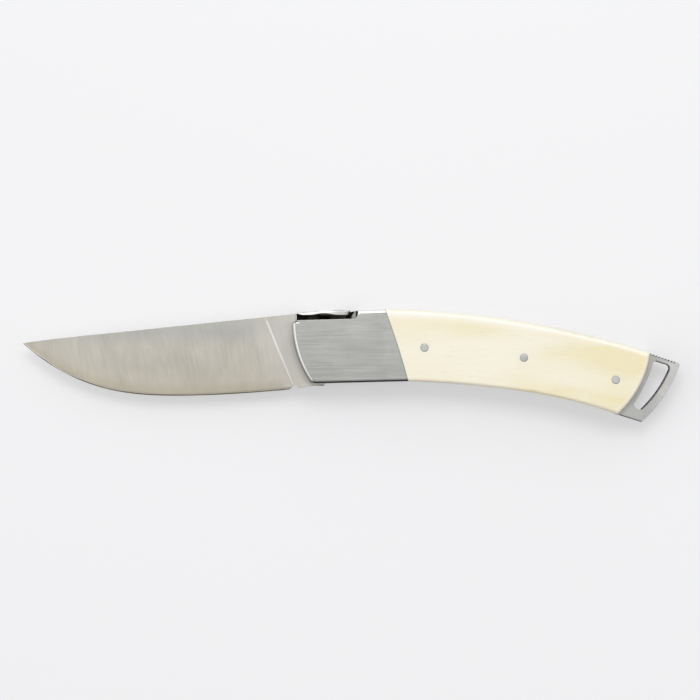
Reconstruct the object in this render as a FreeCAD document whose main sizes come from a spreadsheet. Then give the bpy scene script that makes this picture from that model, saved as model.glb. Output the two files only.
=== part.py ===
"""Folding pocket knife with a rocking lock bar.

Millimetres. The knife lies on its right side with the blade open: +X runs towards the tail of the handle,
+Y towards the spine and +Z up, so the left side is on top. The origin is on the blade pivot's axis, on the
lower outer face. A reach is measured along X from that axis, a height above it and a depth below it.
"""
import FreeCAD
import Part
import Sketcher
import math
import os
import re

SIZES = {
    # Layers through the thickness
    "blade_thickness": 3.0,
    "side_clearance": 0.1,
    "liner_thickness": 1.3,
    "cover_thickness": 2.8,
    "edge_rounding": 1.0,
    # Outline of the handle's front, which the bolsters and the liners share
    "bolster_front_reach": 12.0,
    "bolster_front_bow": 1.3,
    "bolster_toe_reach": 6.0,
    "bolster_toe_rounding": 1.2,
    "bolster_belly_depth": 7.4,
    "notch_front_height": 12.05,
    "notch_floor_height": 12.5,
    "notch_rear_reach": 7.9,
    "notch_corner_radius": 1.4,
    "spine_front_height": 15.05,
    # Joint between bolster and scale
    "joint_top_reach": 16.3,
    "joint_top_height": 15.4,
    "joint_bottom_reach": 23.4,
    "joint_bottom_depth": 6.7,
    "joint_bow": 0.3,
    # Outline of the handle's rear, which the scales and the liners share
    "handle_rear_reach": 97.6,
    "spine_rear_height": 2.05,
    "spine_bow": 3.1,
    "tail_height": 18.75,
    "tail_rake": 9.9,
    "tail_bow": 1.9,
    "belly_middle_reach": 57.8,
    "belly_middle_depth": 9.6,
    "belly_front_bow": 0.5,
    "belly_rear_bow": 0.75,
    # Pins and rivets
    "pivot_clearance": 0.05,
    "blade_pin_diameter": 4.0,
    "blade_pin_seat": 1.8,
    "lock_pin_diameter": 2.5,
    "bolster_pin_diameter": 1.8,
    "bolster_pin_seat": 1.8,
    "bolster_upper_pin_reach": 10.0,
    "bolster_upper_pin_height": 10.5,
    "bolster_lower_pin_reach": 13.5,
    "bolster_lower_pin_depth": 2.5,
    "rivet_diameter": 2.25,
    "front_rivet_reach": 28.4,
    "front_rivet_height": 3.6,
    "middle_rivet_reach": 58.9,
    "middle_rivet_height": 0.5,
    "rear_rivet_inset": 10.55,
    "rear_rivet_drop": 8.35,
    # Blade
    "blade_reach": 95.15,
    "tip_height": 5.0,
    "tip_flat": 0.3,
    "heel_reach": 11.2,
    "heel_height": 14.15,
    "plunge_top_reach": 20.75,
    "plunge_bottom_reach": 11.6,
    "edge_heel_depth": 9.15,
    "edge_belly_depth": 11.15,
    "edge_thickness": 0.45,
    "bevel_height": 0.75,
    "choil_reach": 11.4,
    "choil_width": 3.2,
    "choil_depth": 1.6,
    # Tang
    "tang_radius": 8.05,
    "tang_back_depth": 6.7,
    "kick_front_reach": 9.7,
    "kick_front_depth": 8.6,
    "kick_middle_reach": 5.45,
    "kick_middle_depth": 7.95,
    "kick_rear_reach": 2.6,
    "kick_rear_depth": 8.05,
    "lock_notch_height": 6.9,
    "heel_step_height": 11.5,
    "heel_foot_reach": 9.9,
    "horn_reach": 4.85,
    "horn_height": 1.4,
    # Front arm of the lock bar
    "horn_lift": 0.15,
    "horn_gap": 0.25,
    "heel_gap": 0.2,
    "heel_step_lift": 0.7,
    "tooth_front_gap": 0.55,
    "tooth_height": 1.3,
    "bar_kick_reach": 13.0,
    "bar_kick_height": 8.8,
    "lock_pivot_inset": 38.6,
    "lock_pivot_height": 7.5,
    "lock_boss_radius": 2.8,
    # Thumb plate on the lock bar
    "fly_gap": 1.15,
    "fly_thickness": 1.0,
    "fly_crown": 0.5,
    "fly_front_width": 4.6,
    "fly_front_bow": 0.3,
    "fly_width": 10.6,
    "fly_widest_reach": 2.4,
    "fly_rear_reach": 5.6,
    "fly_edge_rounding": 0.3,
    # Filed spine of the lock bar
    "filework_depth": 1.6,
    "filework_front_reach": 10.3,
    "filework_rear_inset": 6.1,
    "ridge_width": 0.65,
    # Tail lever of the lock bar
    "lever_length": 9.45,
    "lever_rear_drop": 3.75,
    "lever_heel_inset": 2.3,
    "lever_height": 21.3,
    "lever_rear_bow": 1.35,
    "lever_corner": 0.85,
    "limb_overlap": 0.45,
    "limb_top_inset": 2.3,
    "limb_top_drop": 7.5,
    "bar_rear_depth": 3.2,
    "serration_start": 0.3,
    "serration_pitch": 1.0,
    "serration_width": 0.55,
    "serration_depth": 0.38,
    "tip_groove_width": 1.5,
    # Spring and its block
    "block_front_inset": 2.85,
    "block_rear_inset": 4.15,
    "block_top_inset": 2.6,
    "block_bottom_inset": 1.9,
    "block_pin_diameter": 1.4,
    "block_pin_reach": 2.9,
    "spring_thickness": 0.8,
    "spring_gap": 0.4,
    "spring_bow": 0.6,
    "spring_length": 14.2,
    "spring_rivet_diameter": 1.2,
    "spring_rivet_head": 2.0,
    "spring_rivet_head_height": 0.5,
    "spring_rivet_seat": 1.0,
    "spring_rivet_reach": 1.1,
    # Cuts run this far past the solid that they cut
    "overrun": 1.0,
}

SERRATION_COUNT = 9
FILEWORK_UNITS = 6

# A quarter circle's middle lies this share of its radius from its chord's middle, along each axis
QUARTER_SHARE = 0.207

# Corner between the bolster's front and its notch: radius as a share of the rounding that runs along it
BROW_SHARE = 1.25

# Bolster's toe: where its corner ends and how far it bows, as shares of the toe's rounding
TOE_END_SHARES = (0.52, 0.85)
TOE_BOW_SHARES = (0.104, 0.195)

# Which way the tail, the lever's inner limb and the lever's rear bow, as shares of each bow
TAIL_BOW_SHARES = (0.88, -0.47)
LIMB_BOW_SHARES = (0.42, -0.28)
LEVER_BOW_SHARES = (0.82, -0.57)

# Tang: where its round back bows to, as a share of its radius
TANG_BOW_SHARE = 0.95

# Blade spine: reach as a share of the ground length, half thickness as a share of the blade's
SPINE_SHARES = [(0.0, 1.0), (0.35, 0.95), (0.62, 0.74), (0.86, 0.45), (1.0, 0.12)]
SPINE_FALL_SHARE = 0.104

# Cutting edge: reach as a share of the blade's, depth as a share of the belly's
EDGE_SHARES = [(0.315, 0.947), (0.5, 1.0), (0.655, 0.932), (0.81, 0.592), (0.943, -0.04)]

# Lanyard slot: reach past the handle's end as a share of the lever's length, drop as a share of its height,
# and how far the stretch that ends there bows, as shares of the same two sizes
SLOT_SHARES = [
    (0.56, 0.169),
    (0.66, 0.235, 0.027, 0.008),
    (-0.25, 0.815, 0.069, -0.021),
    (-0.50, 0.742, -0.04, -0.02),
    (0.125, 0.172, 0.042, -0.009),
    (0.20, 0.119, -0.012, 0.01),
]

# Groove for the tip of the closed blade, in shares of the lever's rake and height
GROOVE_SHARES = [(-1.1, 0.56), (-0.95, 0.6), (-0.3, 0.93), (-0.3, 1.1), (-1.1, 1.1)]

# Share of the way from the handle's end to the lock pivot where the bar's underside turns down
UNDERSIDE_TURN_SHARE = 0.17

# Thumb plate: how far each side stretch bows, as shares of the plate's half width, and how far its top bows,
# as a share of its crown
FLY_BOW_SHARES = (0.16, 0.2)
CROWN_BOW_SHARE = 0.33

# Filed spine: a crossing stroke's length, as a share of one unit of the pattern
CROSSING_SHARE = 0.39

doc = FreeCAD.newDocument("pocket_knife")
sheet = doc.addObject("Spreadsheet::Sheet", "sizes")
for row, (alias, size) in enumerate(SIZES.items(), start=1):
    sheet.set(f"A{row}", alias)
    sheet.set(f"B{row}", str(size))
    sheet.setAlias(f"B{row}", alias)
reckoner = doc.addObject("App::VarSet", "reckoner")
reckoner.addProperty("App::PropertyFloat", "Result")
doc.recompute()

# Levels of the layers, from the lower outer face up
CHANNEL = "(blade_thickness + 2 * side_clearance)"
RIGHT_LINER_LEVEL = "cover_thickness"
CHANNEL_LEVEL = "(cover_thickness + liner_thickness)"
MIDDLE_LEVEL = f"({CHANNEL_LEVEL} + {CHANNEL} / 2)"
LEFT_LINER_LEVEL = f"({CHANNEL_LEVEL} + {CHANNEL})"
LEFT_COVER_LEVEL = f"({LEFT_LINER_LEVEL} + liner_thickness)"
TOP_LEVEL = f"({LEFT_COVER_LEVEL} + cover_thickness)"
BLADE_LEVEL = f"({CHANNEL_LEVEL} + side_clearance)"

# Places that several pieces share
TAIL_BOTTOM = ("(handle_rear_reach - tail_rake)", "(spine_rear_height - tail_height)")
REAR_RIVET = ("(handle_rear_reach - rear_rivet_inset)", "(spine_rear_height - rear_rivet_drop)")
FRONT_RIVET = ("front_rivet_reach", "front_rivet_height")
MIDDLE_RIVET = ("middle_rivet_reach", "middle_rivet_height")
LOCK_PIVOT = ("(handle_rear_reach - lock_pivot_inset)", "lock_pivot_height")
BLADE_PIVOT = ("0", "0")
UPPER_PIN = ("bolster_upper_pin_reach", "bolster_upper_pin_height")
LOWER_PIN = ("bolster_lower_pin_reach", "-bolster_lower_pin_depth")
BLOCK_PIN = (f"({REAR_RIVET[0]} + block_pin_reach)", REAR_RIVET[1])
HORN_TOP = "(lock_notch_height + horn_height)"
FLY_BOTTOM = "(notch_floor_height + fly_gap)"
UNDERSIDE_TURN = (
    f"(handle_rear_reach - lock_pivot_inset * {UNDERSIDE_TURN_SHARE})",
    "(spine_rear_height - bar_rear_depth)",
)
BOSS_BOTTOM = "(lock_pivot_height - lock_boss_radius)"
BROW = f"(edge_rounding * {BROW_SHARE})"
NOTCH_FRONT = f"(bolster_front_reach - {BROW})"
FLY_FRONT = "(-heel_reach + heel_gap)"


def bind(expression):
    """Point every size that an expression names at its cell."""
    return re.sub(r"[a-z_]+", lambda word: f"sizes.{word[0]}" if word[0] in SIZES else word[0],
                  expression)


def value(expression):
    """Work an expression in named sizes out as a number."""
    reckoner.setExpression("Result", bind(expression))
    reckoner.recompute()
    return reckoner.Result


def new_body(label):
    body = doc.addObject("PartDesign::Body", label)
    body.Label = label
    return body


def new_sketch(body, name, plane, level):
    """Start a sketch on one of the body's origin planes, raised to a level along that plane's normal."""
    sketch = body.newObject("Sketcher::SketchObject", f"{body.Name}_{name}")
    support = [feature for feature in body.Origin.OriginFeatures if feature.Role == plane]
    sketch.AttachmentSupport = [(support[0], "")]
    sketch.MapMode = "FlatFace"
    sketch.setExpression("AttachmentOffset.Base.z", bind(level))
    return sketch


def pin_down(sketch, geometry, position, place):
    """Tie one point of a line, arc or circle (1 start, 2 end, 3 centre) to a place given in named sizes."""
    for kind, expression in zip(("DistanceX", "DistanceY"), place):
        constraint = Sketcher.Constraint(kind, -1, 1, geometry, position, value(expression))
        index = sketch.addConstraint(constraint)
        sketch.setExpression(f"Constraints[{index}]", bind(expression))


def end_at(sketch, geometry, corner):
    """Say which end of a line or arc, 1 or 2, lies at a corner."""
    return min((1, 2), key=lambda end: sketch.getPoint(geometry, end).distanceToPoint(corner))


def add_loop(sketch, corners):
    """Draw a closed outline.

    A corner is (x, y), reached by a straight stretch, or (x, y, bow x, bow y), reached by an arc whose
    middle lies that far from the middle of its chord.
    """
    points = [FreeCAD.Vector(value(corner[0]), value(corner[1]), 0) for corner in corners]
    stretches = []
    for index, corner in enumerate(corners):
        start = points[index - 1]
        finish = points[index]
        if len(corner) == 2:
            stretches.append(sketch.addGeometry(Part.LineSegment(start, finish), False))
            continue
        before = corners[index - 1]
        middle = [f"(({before[axis]}) + ({corner[axis]})) / 2 + ({corner[axis + 2]})" for axis in (0, 1)]
        through = FreeCAD.Vector(value(middle[0]), value(middle[1]), 0)
        arc = sketch.addGeometry(Part.Arc(start, through, finish), False)
        marker = sketch.addGeometry(Part.Point(through), True)
        pin_down(sketch, marker, 1, middle)
        sketch.addConstraint(Sketcher.Constraint("PointOnObject", marker, 1, arc))
        stretches.append(arc)
    for index, stretch in enumerate(stretches):
        following = stretches[(index + 1) % len(stretches)]
        finish = end_at(sketch, stretch, points[index])
        start = end_at(sketch, following, points[index])
        sketch.addConstraint(Sketcher.Constraint("Coincident", stretch, finish, following, start))
        pin_down(sketch, stretch, finish, corners[index][:2])


def add_circle(sketch, centre, diameter):
    spot = FreeCAD.Vector(value(centre[0]), value(centre[1]), 0)
    circle = sketch.addGeometry(Part.Circle(spot, FreeCAD.Vector(0, 0, 1), value(diameter) / 2), False)
    pin_down(sketch, circle, 3, centre)
    index = sketch.addConstraint(Sketcher.Constraint("Diameter", circle, value(diameter)))
    sketch.setExpression(f"Constraints[{index}]", bind(diameter))


def add_pad(body, sketch, length, reverse=False):
    pad = body.newObject("PartDesign::Pad", f"{sketch.Name}_pad")
    pad.Profile = sketch
    pad.Reversed = reverse
    pad.setExpression("Length", bind(length))
    doc.recompute()
    return pad


def add_pocket(body, sketch, length, reverse=False, both_ways=False):
    """Cut a sketch into the body, and make sure that it did cut."""
    volume = body.Shape.Volume
    pocket = body.newObject("PartDesign::Pocket", f"{sketch.Name}_pocket")
    pocket.Profile = sketch
    pocket.Reversed = reverse
    if both_ways:
        pocket.SideType = "Symmetric"
    pocket.setExpression("Length", bind(length))
    doc.recompute()
    if body.Shape.Volume >= volume:
        raise RuntimeError(f"{pocket.Name} cuts nothing")
    return pocket


def add_fillet(body, edges, radius):
    base = body.Tip
    fillet = body.newObject("PartDesign::Fillet", f"{body.Name}_rounding")
    fillet.Base = (base, edges)
    fillet.setExpression("Radius", bind(radius))
    doc.recompute()


def plate(label, level, thickness, loops, holes=()):
    """Make a flat piece from closed outlines and round holes, given as (centre, diameter)."""
    body = new_body(label)
    sketch = new_sketch(body, "outline", "XY_Plane", level)
    for loop in loops:
        add_loop(sketch, loop)
    for centre, diameter in holes:
        add_circle(sketch, centre, diameter)
    add_pad(body, sketch, thickness)
    return body


def round_outer_edges(body, level, left_out):
    """Round the edges of the face at a level, but for those that the test leaves out."""
    height = value(level)
    names = []
    for number, edge in enumerate(body.Shape.Edges, start=1):
        ends = (edge.BoundBox.ZMin, edge.BoundBox.ZMax)
        in_face = all(abs(end - height) < Part.Precision.confusion() for end in ends)
        middle = edge.valueAt((edge.FirstParameter + edge.LastParameter) / 2)
        if in_face and not edge.isClosed() and not left_out(middle):
            names.append(f"Edge{number}")
    add_fillet(body, names, "edge_rounding")


# Outline of the handle
NOTCH_FLOOR = [
    ("notch_rear_reach - notch_corner_radius", "notch_floor_height"),
    ("notch_rear_reach", "notch_floor_height + notch_corner_radius",
     f"notch_corner_radius * {QUARTER_SHARE}", f"-notch_corner_radius * {QUARTER_SHARE}"),
]
BOLSTER_FRONT = [
    ("-bolster_toe_reach + bolster_toe_rounding", "-bolster_belly_depth"),
    (f"-bolster_toe_reach - bolster_toe_rounding * {TOE_END_SHARES[0]}",
     f"-bolster_belly_depth + bolster_toe_rounding * {TOE_END_SHARES[1]}",
     f"-bolster_toe_rounding * {TOE_BOW_SHARES[0]}", f"-bolster_toe_rounding * {TOE_BOW_SHARES[1]}"),
    ("-bolster_front_reach", f"notch_front_height - {BROW}", "-bolster_front_bow", "0"),
    (f"-{NOTCH_FRONT}", "notch_front_height", f"-{BROW} * {QUARTER_SHARE}", f"{BROW} * {QUARTER_SHARE}"),
    *NOTCH_FLOOR,
    ("notch_rear_reach", "spine_front_height"),
    ("joint_top_reach", "joint_top_height"),
]
# Strip along the notch that keeps its edge square, with a slanted stop where the front's rounding ends
NOTCH_LIP = [
    (f"-{NOTCH_FRONT}", "notch_front_height"),
    *NOTCH_FLOOR,
    ("notch_rear_reach + edge_rounding", "notch_floor_height + notch_corner_radius"),
    ("notch_rear_reach + edge_rounding", "notch_front_height - edge_rounding"),
    (f"-{NOTCH_FRONT} + edge_rounding", "notch_front_height - edge_rounding"),
]
BELLY_JOINT = ("joint_bottom_reach", "-joint_bottom_depth")
HANDLE_REAR = [
    ("handle_rear_reach", "spine_rear_height", "0", "spine_bow"),
    (*TAIL_BOTTOM, *(f"tail_bow * {share}" for share in TAIL_BOW_SHARES)),
    ("belly_middle_reach", "-belly_middle_depth", "0", "belly_rear_bow"),
    (*BELLY_JOINT, "0", "belly_front_bow"),
]
BOLSTER_OUTLINE = [*BOLSTER_FRONT, (*BELLY_JOINT, "joint_bow", "0")]
SCALE_OUTLINE = [("joint_top_reach", "joint_top_height", "joint_bow", "0"), *HANDLE_REAR]
LINER_OUTLINE = [*BOLSTER_FRONT, *HANDLE_REAR]

BOLSTER_PINS = [(UPPER_PIN, "bolster_pin_diameter"), (LOWER_PIN, "bolster_pin_diameter")]
SCALE_RIVETS = [(spot, "rivet_diameter") for spot in (FRONT_RIVET, MIDDLE_RIVET, REAR_RIVET)]
LINER_PINS = [
    (BLADE_PIVOT, "blade_pin_diameter"),
    (LOCK_PIVOT, "lock_pin_diameter"),
    (BLOCK_PIN, "block_pin_diameter"),
]


def on_joint(point):
    """Tell whether an edge with this middle is the seam between bolster and scale."""
    return value("joint_top_reach") < point.x < value("joint_bottom_reach")


def in_notch(point):
    """Tell whether an edge with this middle is in the notch under the thumb plate."""
    inside = -value(NOTCH_FRONT) < point.x < value("notch_rear_reach") + Part.Precision.confusion()
    return inside and point.y > 0


def make_liner(side, level):
    holes = LINER_PINS + BOLSTER_PINS + SCALE_RIVETS
    plate(f"{side}_liner", level, "liner_thickness", [LINER_OUTLINE], holes)


def make_bolster(side, level, outer_level, inner_level, pins_up):
    body = plate(f"{side}_bolster", level, "cover_thickness", [BOLSTER_OUTLINE])
    round_outer_edges(body, outer_level, lambda point: on_joint(point) or in_notch(point))
    lip = new_sketch(body, "notch_lip", "XY_Plane", level)
    add_loop(lip, NOTCH_LIP)
    add_pad(body, lip, "cover_thickness")
    pivot_seat = new_sketch(body, "pivot_seat", "XY_Plane", inner_level)
    add_circle(pivot_seat, BLADE_PIVOT, "blade_pin_diameter")
    add_pocket(body, pivot_seat, "blade_pin_seat", pins_up)
    pin_seats = new_sketch(body, "pin_seats", "XY_Plane", inner_level)
    for centre, diameter in BOLSTER_PINS:
        add_circle(pin_seats, centre, diameter)
    add_pocket(body, pin_seats, "bolster_pin_seat", pins_up)


def make_scale(side, level, outer_level):
    body = plate(f"{side}_scale", level, "cover_thickness", [SCALE_OUTLINE], SCALE_RIVETS)
    round_outer_edges(body, outer_level, on_joint)


def make_pin(label, centre, diameter, level, length):
    plate(label, level, length, [], [(centre, diameter)])


def make_pins():
    make_pin("blade_pivot_pin", BLADE_PIVOT, "blade_pin_diameter", "cover_thickness - blade_pin_seat",
             f"{CHANNEL} + 2 * liner_thickness + 2 * blade_pin_seat")
    between_scales = f"{CHANNEL} + 2 * liner_thickness"
    make_pin("lock_pivot_pin", LOCK_PIVOT, "lock_pin_diameter", RIGHT_LINER_LEVEL, between_scales)
    make_pin("spring_block_pin", BLOCK_PIN, "block_pin_diameter", RIGHT_LINER_LEVEL, between_scales)
    make_pin("rear_rivet", REAR_RIVET, "rivet_diameter", "0", TOP_LEVEL)
    through_scale = "cover_thickness + liner_thickness"
    for name, spot in (("front_rivet", FRONT_RIVET), ("middle_rivet", MIDDLE_RIVET)):
        make_pin(f"right_{name}", spot, "rivet_diameter", "0", through_scale)
        make_pin(f"left_{name}", spot, "rivet_diameter", LEFT_LINER_LEVEL, through_scale)
    seat = "cover_thickness - bolster_pin_seat"
    into_bolster = "liner_thickness + bolster_pin_seat"
    for name, spot in (("bolster_upper_pin", UPPER_PIN), ("bolster_lower_pin", LOWER_PIN)):
        make_pin(f"right_{name}", spot, "bolster_pin_diameter", seat, into_bolster)
        make_pin(f"left_{name}", spot, "bolster_pin_diameter", LEFT_LINER_LEVEL, into_bolster)


def spine_height_at(reach):
    """Height of the blade's straight spine at a reach."""
    return value("heel_height") - SPINE_FALL_SHARE * (reach - value("heel_reach"))


def smooth_edge(points):
    curve = Part.BSplineCurve()
    curve.interpolate(points)
    return curve.toShape()


def make_ground_blade():
    """Build the ground part of the blade: faces ruled from the spine to the bevel and on to the edge."""
    middle = value(MIDDLE_LEVEL)
    plunge_top = value("plunge_top_reach")
    plunge_bottom = value("plunge_bottom_reach")
    tip = value("blade_reach")
    half_flat = value("tip_flat / 2")
    bevel = value("bevel_height")
    start_height = spine_height_at(plunge_top)
    spine = []
    for reach_share, half_share in SPINE_SHARES:
        reach = plunge_top + (tip - plunge_top) * reach_share
        height = spine_height_at(reach) if reach_share < 1 else value("tip_height") + half_flat
        spine.append((reach, height, half_share * value("blade_thickness / 2")))
    sharp = [(plunge_bottom, -value("edge_heel_depth"))]
    sharp += [(share * tip, -depth * value("edge_belly_depth")) for share, depth in EDGE_SHARES]
    sharp.append((tip, value("tip_height") - half_flat))
    lean = (plunge_top - plunge_bottom) / (start_height + value("edge_heel_depth"))
    ground = [(plunge_bottom + bevel * lean, sharp[0][1] + bevel)]
    ground += [(reach, height + bevel) for reach, height in sharp[1:-1]]
    ground.append((tip, value("tip_height")))
    half_edge = value("edge_thickness / 2")
    edge = smooth_edge([FreeCAD.Vector(-reach, height, middle) for reach, height in sharp])
    faces = []
    spines = []
    bevels = []
    for side in (1, -1):
        spines.append(smooth_edge([FreeCAD.Vector(-x, y, middle + side * half) for x, y, half in spine]))
        half_edges = [half_edge] * (len(ground) - 1) + [min(half_edge, spine[-1][2])]
        bevels.append(smooth_edge([FreeCAD.Vector(-x, y, middle + side * half)
                                   for (x, y), half in zip(ground, half_edges)]))
        faces.append(Part.makeRuledSurface(spines[-1], bevels[-1]))
        faces.append(Part.makeRuledSurface(bevels[-1], edge))
    faces.append(Part.makeRuledSurface(spines[0], spines[1]))
    for parameter in ("FirstParameter", "LastParameter"):
        around = (spines[0], bevels[0], edge, bevels[1], spines[1])
        rim = [curve.valueAt(getattr(curve, parameter)) for curve in around]
        faces.append(Part.Face(Part.makePolygon([*rim, rim[0]])))
    shell = Part.Shell(faces)
    shell.sewShape()
    solid = Part.Solid(shell)
    if solid.Volume < 0:
        solid.reverse()
    feature = doc.addObject("Part::Feature", "ground_blade")
    feature.Shape = solid
    return feature


def make_tang():
    plunge_height = f"(heel_height - {SPINE_FALL_SHARE} * (plunge_top_reach - heel_reach))"
    outline = [
        ("-plunge_top_reach", plunge_height),
        ("-plunge_bottom_reach", "-edge_heel_depth"),
        ("-kick_front_reach", "-kick_front_depth"),
        ("-kick_middle_reach", "-kick_middle_depth"),
        ("-kick_rear_reach", "-kick_rear_depth"),
        ("-kick_rear_reach / 2", "-tang_back_depth"),
        ("0", "tang_radius", f"tang_radius * {TANG_BOW_SHARE}", "0"),
        ("-horn_reach", HORN_TOP),
        ("-horn_reach", "lock_notch_height"),
        ("-heel_foot_reach", "lock_notch_height"),
        ("-heel_reach", "heel_step_height"),
        ("-heel_reach", "heel_height"),
    ]
    bore = [(BLADE_PIVOT, "blade_pin_diameter + 2 * pivot_clearance")]
    return plate("tang", BLADE_LEVEL, "blade_thickness", [outline], bore)


def make_choil_cutter():
    """Wedge that cuts the notch between the tang and the cutting edge."""
    half_width = "(choil_width / 2 * (choil_depth + overrun) / choil_depth)"
    notch = [
        (f"-choil_reach - {half_width}", "-edge_heel_depth - overrun"),
        (f"-choil_reach + {half_width}", "-edge_heel_depth - overrun"),
        ("-choil_reach", "choil_depth - edge_heel_depth"),
    ]
    return plate("choil_cutter", f"{BLADE_LEVEL} - overrun", "blade_thickness + 2 * overrun", [notch])


def combine(kind, label, base, tool):
    """Join, cut or intersect two solids of the document."""
    feature = doc.addObject(f"Part::{kind}", label)
    feature.Label = label
    feature.Base = base
    feature.Tool = tool
    doc.recompute()
    return feature


def make_blade():
    whole = combine("Fuse", "blade_without_choil", make_tang(), make_ground_blade())
    combine("Cut", "blade", whole, make_choil_cutter())


def rear(x_share, y_share):
    """A place behind the handle's upper rear corner, in shares of the lever's length and height."""
    return (f"handle_rear_reach + lever_length * {x_share}", f"spine_rear_height - lever_height * {y_share}")


def make_bar_blank():
    """Side outline of the lock bar, with its bore, lanyard slot, tip groove and serrations."""
    tooth_bottom = f"({HORN_TOP} + horn_lift)"
    outline = [
        ("-heel_foot_reach + tooth_front_gap", tooth_bottom),
        ("-horn_reach - horn_gap", tooth_bottom),
        ("-horn_reach - horn_gap", f"{tooth_bottom} + tooth_height"),
        ("bar_kick_reach", "bar_kick_height"),
        (LOCK_PIVOT[0], BOSS_BOTTOM),
        UNDERSIDE_TURN,
        ("handle_rear_reach - limb_top_inset", "spine_rear_height - limb_top_drop"),
        (f"{TAIL_BOTTOM[0]} - limb_overlap", TAIL_BOTTOM[1],
         *(f"tail_bow * {share}" for share in LIMB_BOW_SHARES)),
        ("handle_rear_reach - lever_heel_inset", "spine_rear_height - lever_height"),
        ("handle_rear_reach + lever_length", "spine_rear_height - lever_rear_drop",
         *(f"lever_rear_bow * {share}" for share in LEVER_BOW_SHARES)),
        ("handle_rear_reach + lever_length - lever_corner",
         "spine_rear_height - lever_rear_drop + lever_corner",
         f"lever_corner * {QUARTER_SHARE}", f"lever_corner * {QUARTER_SHARE}"),
        ("handle_rear_reach", "spine_rear_height"),
        ("joint_top_reach", "joint_top_height", "0", "spine_bow"),
        ("notch_rear_reach", "spine_front_height"),
        ("fly_rear_reach", f"{FLY_BOTTOM} + fly_thickness"),
        (f"{FLY_FRONT} + fly_front_bow / 4", f"{FLY_BOTTOM} + fly_thickness / 2"),
        (f"{FLY_FRONT} + fly_front_bow / 4", "heel_step_height + heel_step_lift"),
    ]
    slot = []
    for x_share, y_share, *bow_shares in SLOT_SHARES:
        bow = [f"{size} * {share}" for size, share in zip(("lever_length", "lever_height"), bow_shares)]
        slot.append((*rear(x_share, y_share), *bow))
    bore = [(LOCK_PIVOT, "lock_pin_diameter + 2 * pivot_clearance")]
    body = plate("lock_bar_blank", BLADE_LEVEL, "blade_thickness", [outline, slot], bore)
    groove = new_sketch(body, "tip_groove", "XY_Plane", MIDDLE_LEVEL)
    add_loop(groove, [(f"handle_rear_reach + tail_rake * {x}", f"spine_rear_height - lever_height * {y}")
                      for x, y in GROOVE_SHARES])
    add_pocket(body, groove, "tip_groove_width", both_ways=True)
    add_serrations(body)
    return body


def add_serrations(body):
    """File the thumb grooves across the lever's upper edge, from the handle's end backwards."""
    sketch = new_sketch(body, "serrations", "XY_Plane", f"{BLADE_LEVEL} + blade_thickness + overrun")
    run = "(lever_length - lever_corner)"
    fall = "(lever_rear_drop - lever_corner)"
    length = f"sqrt({run} ^ 2 + {fall} ^ 2)"
    for number in range(SERRATION_COUNT):
        along = f"(serration_start + serration_pitch * {number})"
        groove = []
        sides = ("- serration_width / 2", "+ serration_width / 2")
        floor = "serration_depth"
        for side, depth in zip((*sides, *reversed(sides)), ("-overrun", "-overrun", floor, floor)):
            reach = f"({along} {side})"
            groove.append((f"handle_rear_reach + ({reach} * {run} - ({depth}) * {fall}) / {length}",
                           f"spine_rear_height - ({reach} * {fall} + ({depth}) * {run}) / {length}"))
        add_loop(sketch, groove)
    add_pocket(body, sketch, "blade_thickness + 2 * overrun")


def make_fly():
    """Thumb plate: a leaf in plan, crowned along its length, with its upper edge rounded."""
    body = new_body("fly")
    leaf = new_sketch(body, "leaf", "XZ_Plane", f"-({FLY_BOTTOM})")
    front = f"({FLY_FRONT} + fly_front_bow)"
    bows = [f"fly_width * {share} / 2" for share in FLY_BOW_SHARES]
    outline = [
        (front, f"{MIDDLE_LEVEL} - fly_front_width / 2", "-fly_front_bow", "0"),
        ("-fly_widest_reach", f"{MIDDLE_LEVEL} - fly_width / 2", "0", f"-{bows[0]}"),
        ("fly_rear_reach", f"{MIDDLE_LEVEL} - blade_thickness / 2", "0", f"-{bows[1]}"),
        ("fly_rear_reach", f"{MIDDLE_LEVEL} + blade_thickness / 2"),
        ("-fly_widest_reach", f"{MIDDLE_LEVEL} + fly_width / 2", "0", bows[1]),
        (front, f"{MIDDLE_LEVEL} + fly_front_width / 2", "0", bows[0]),
    ]
    add_loop(leaf, outline)
    add_pad(body, leaf, "fly_thickness + fly_crown", reverse=True)
    crown = new_sketch(body, "crown", "XY_Plane", MIDDLE_LEVEL)
    low = f"{FLY_BOTTOM} + fly_thickness / 2"
    high = f"{FLY_BOTTOM} + fly_thickness + fly_crown"
    add_loop(crown, [
        (f"{FLY_FRONT} - overrun", low),
        ("fly_rear_reach + overrun", high, "0", f"fly_crown * {CROWN_BOW_SHARE}"),
        ("fly_rear_reach + overrun", f"{high} + overrun"),
        (f"{FLY_FRONT} - overrun", f"{high} + overrun"),
    ])
    add_pocket(body, crown, "fly_width + 2 * overrun", both_ways=True)
    names = []
    for number, edge in enumerate(body.Shape.Edges, start=1):
        raised = edge.BoundBox.YMin > value(FLY_BOTTOM) + Part.Precision.confusion()
        if raised and edge.BoundBox.XMin < -value("fly_widest_reach") / 2:
            names.append(f"Edge{number}")
    add_fillet(body, names, "fly_edge_rounding")
    return body


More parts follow.
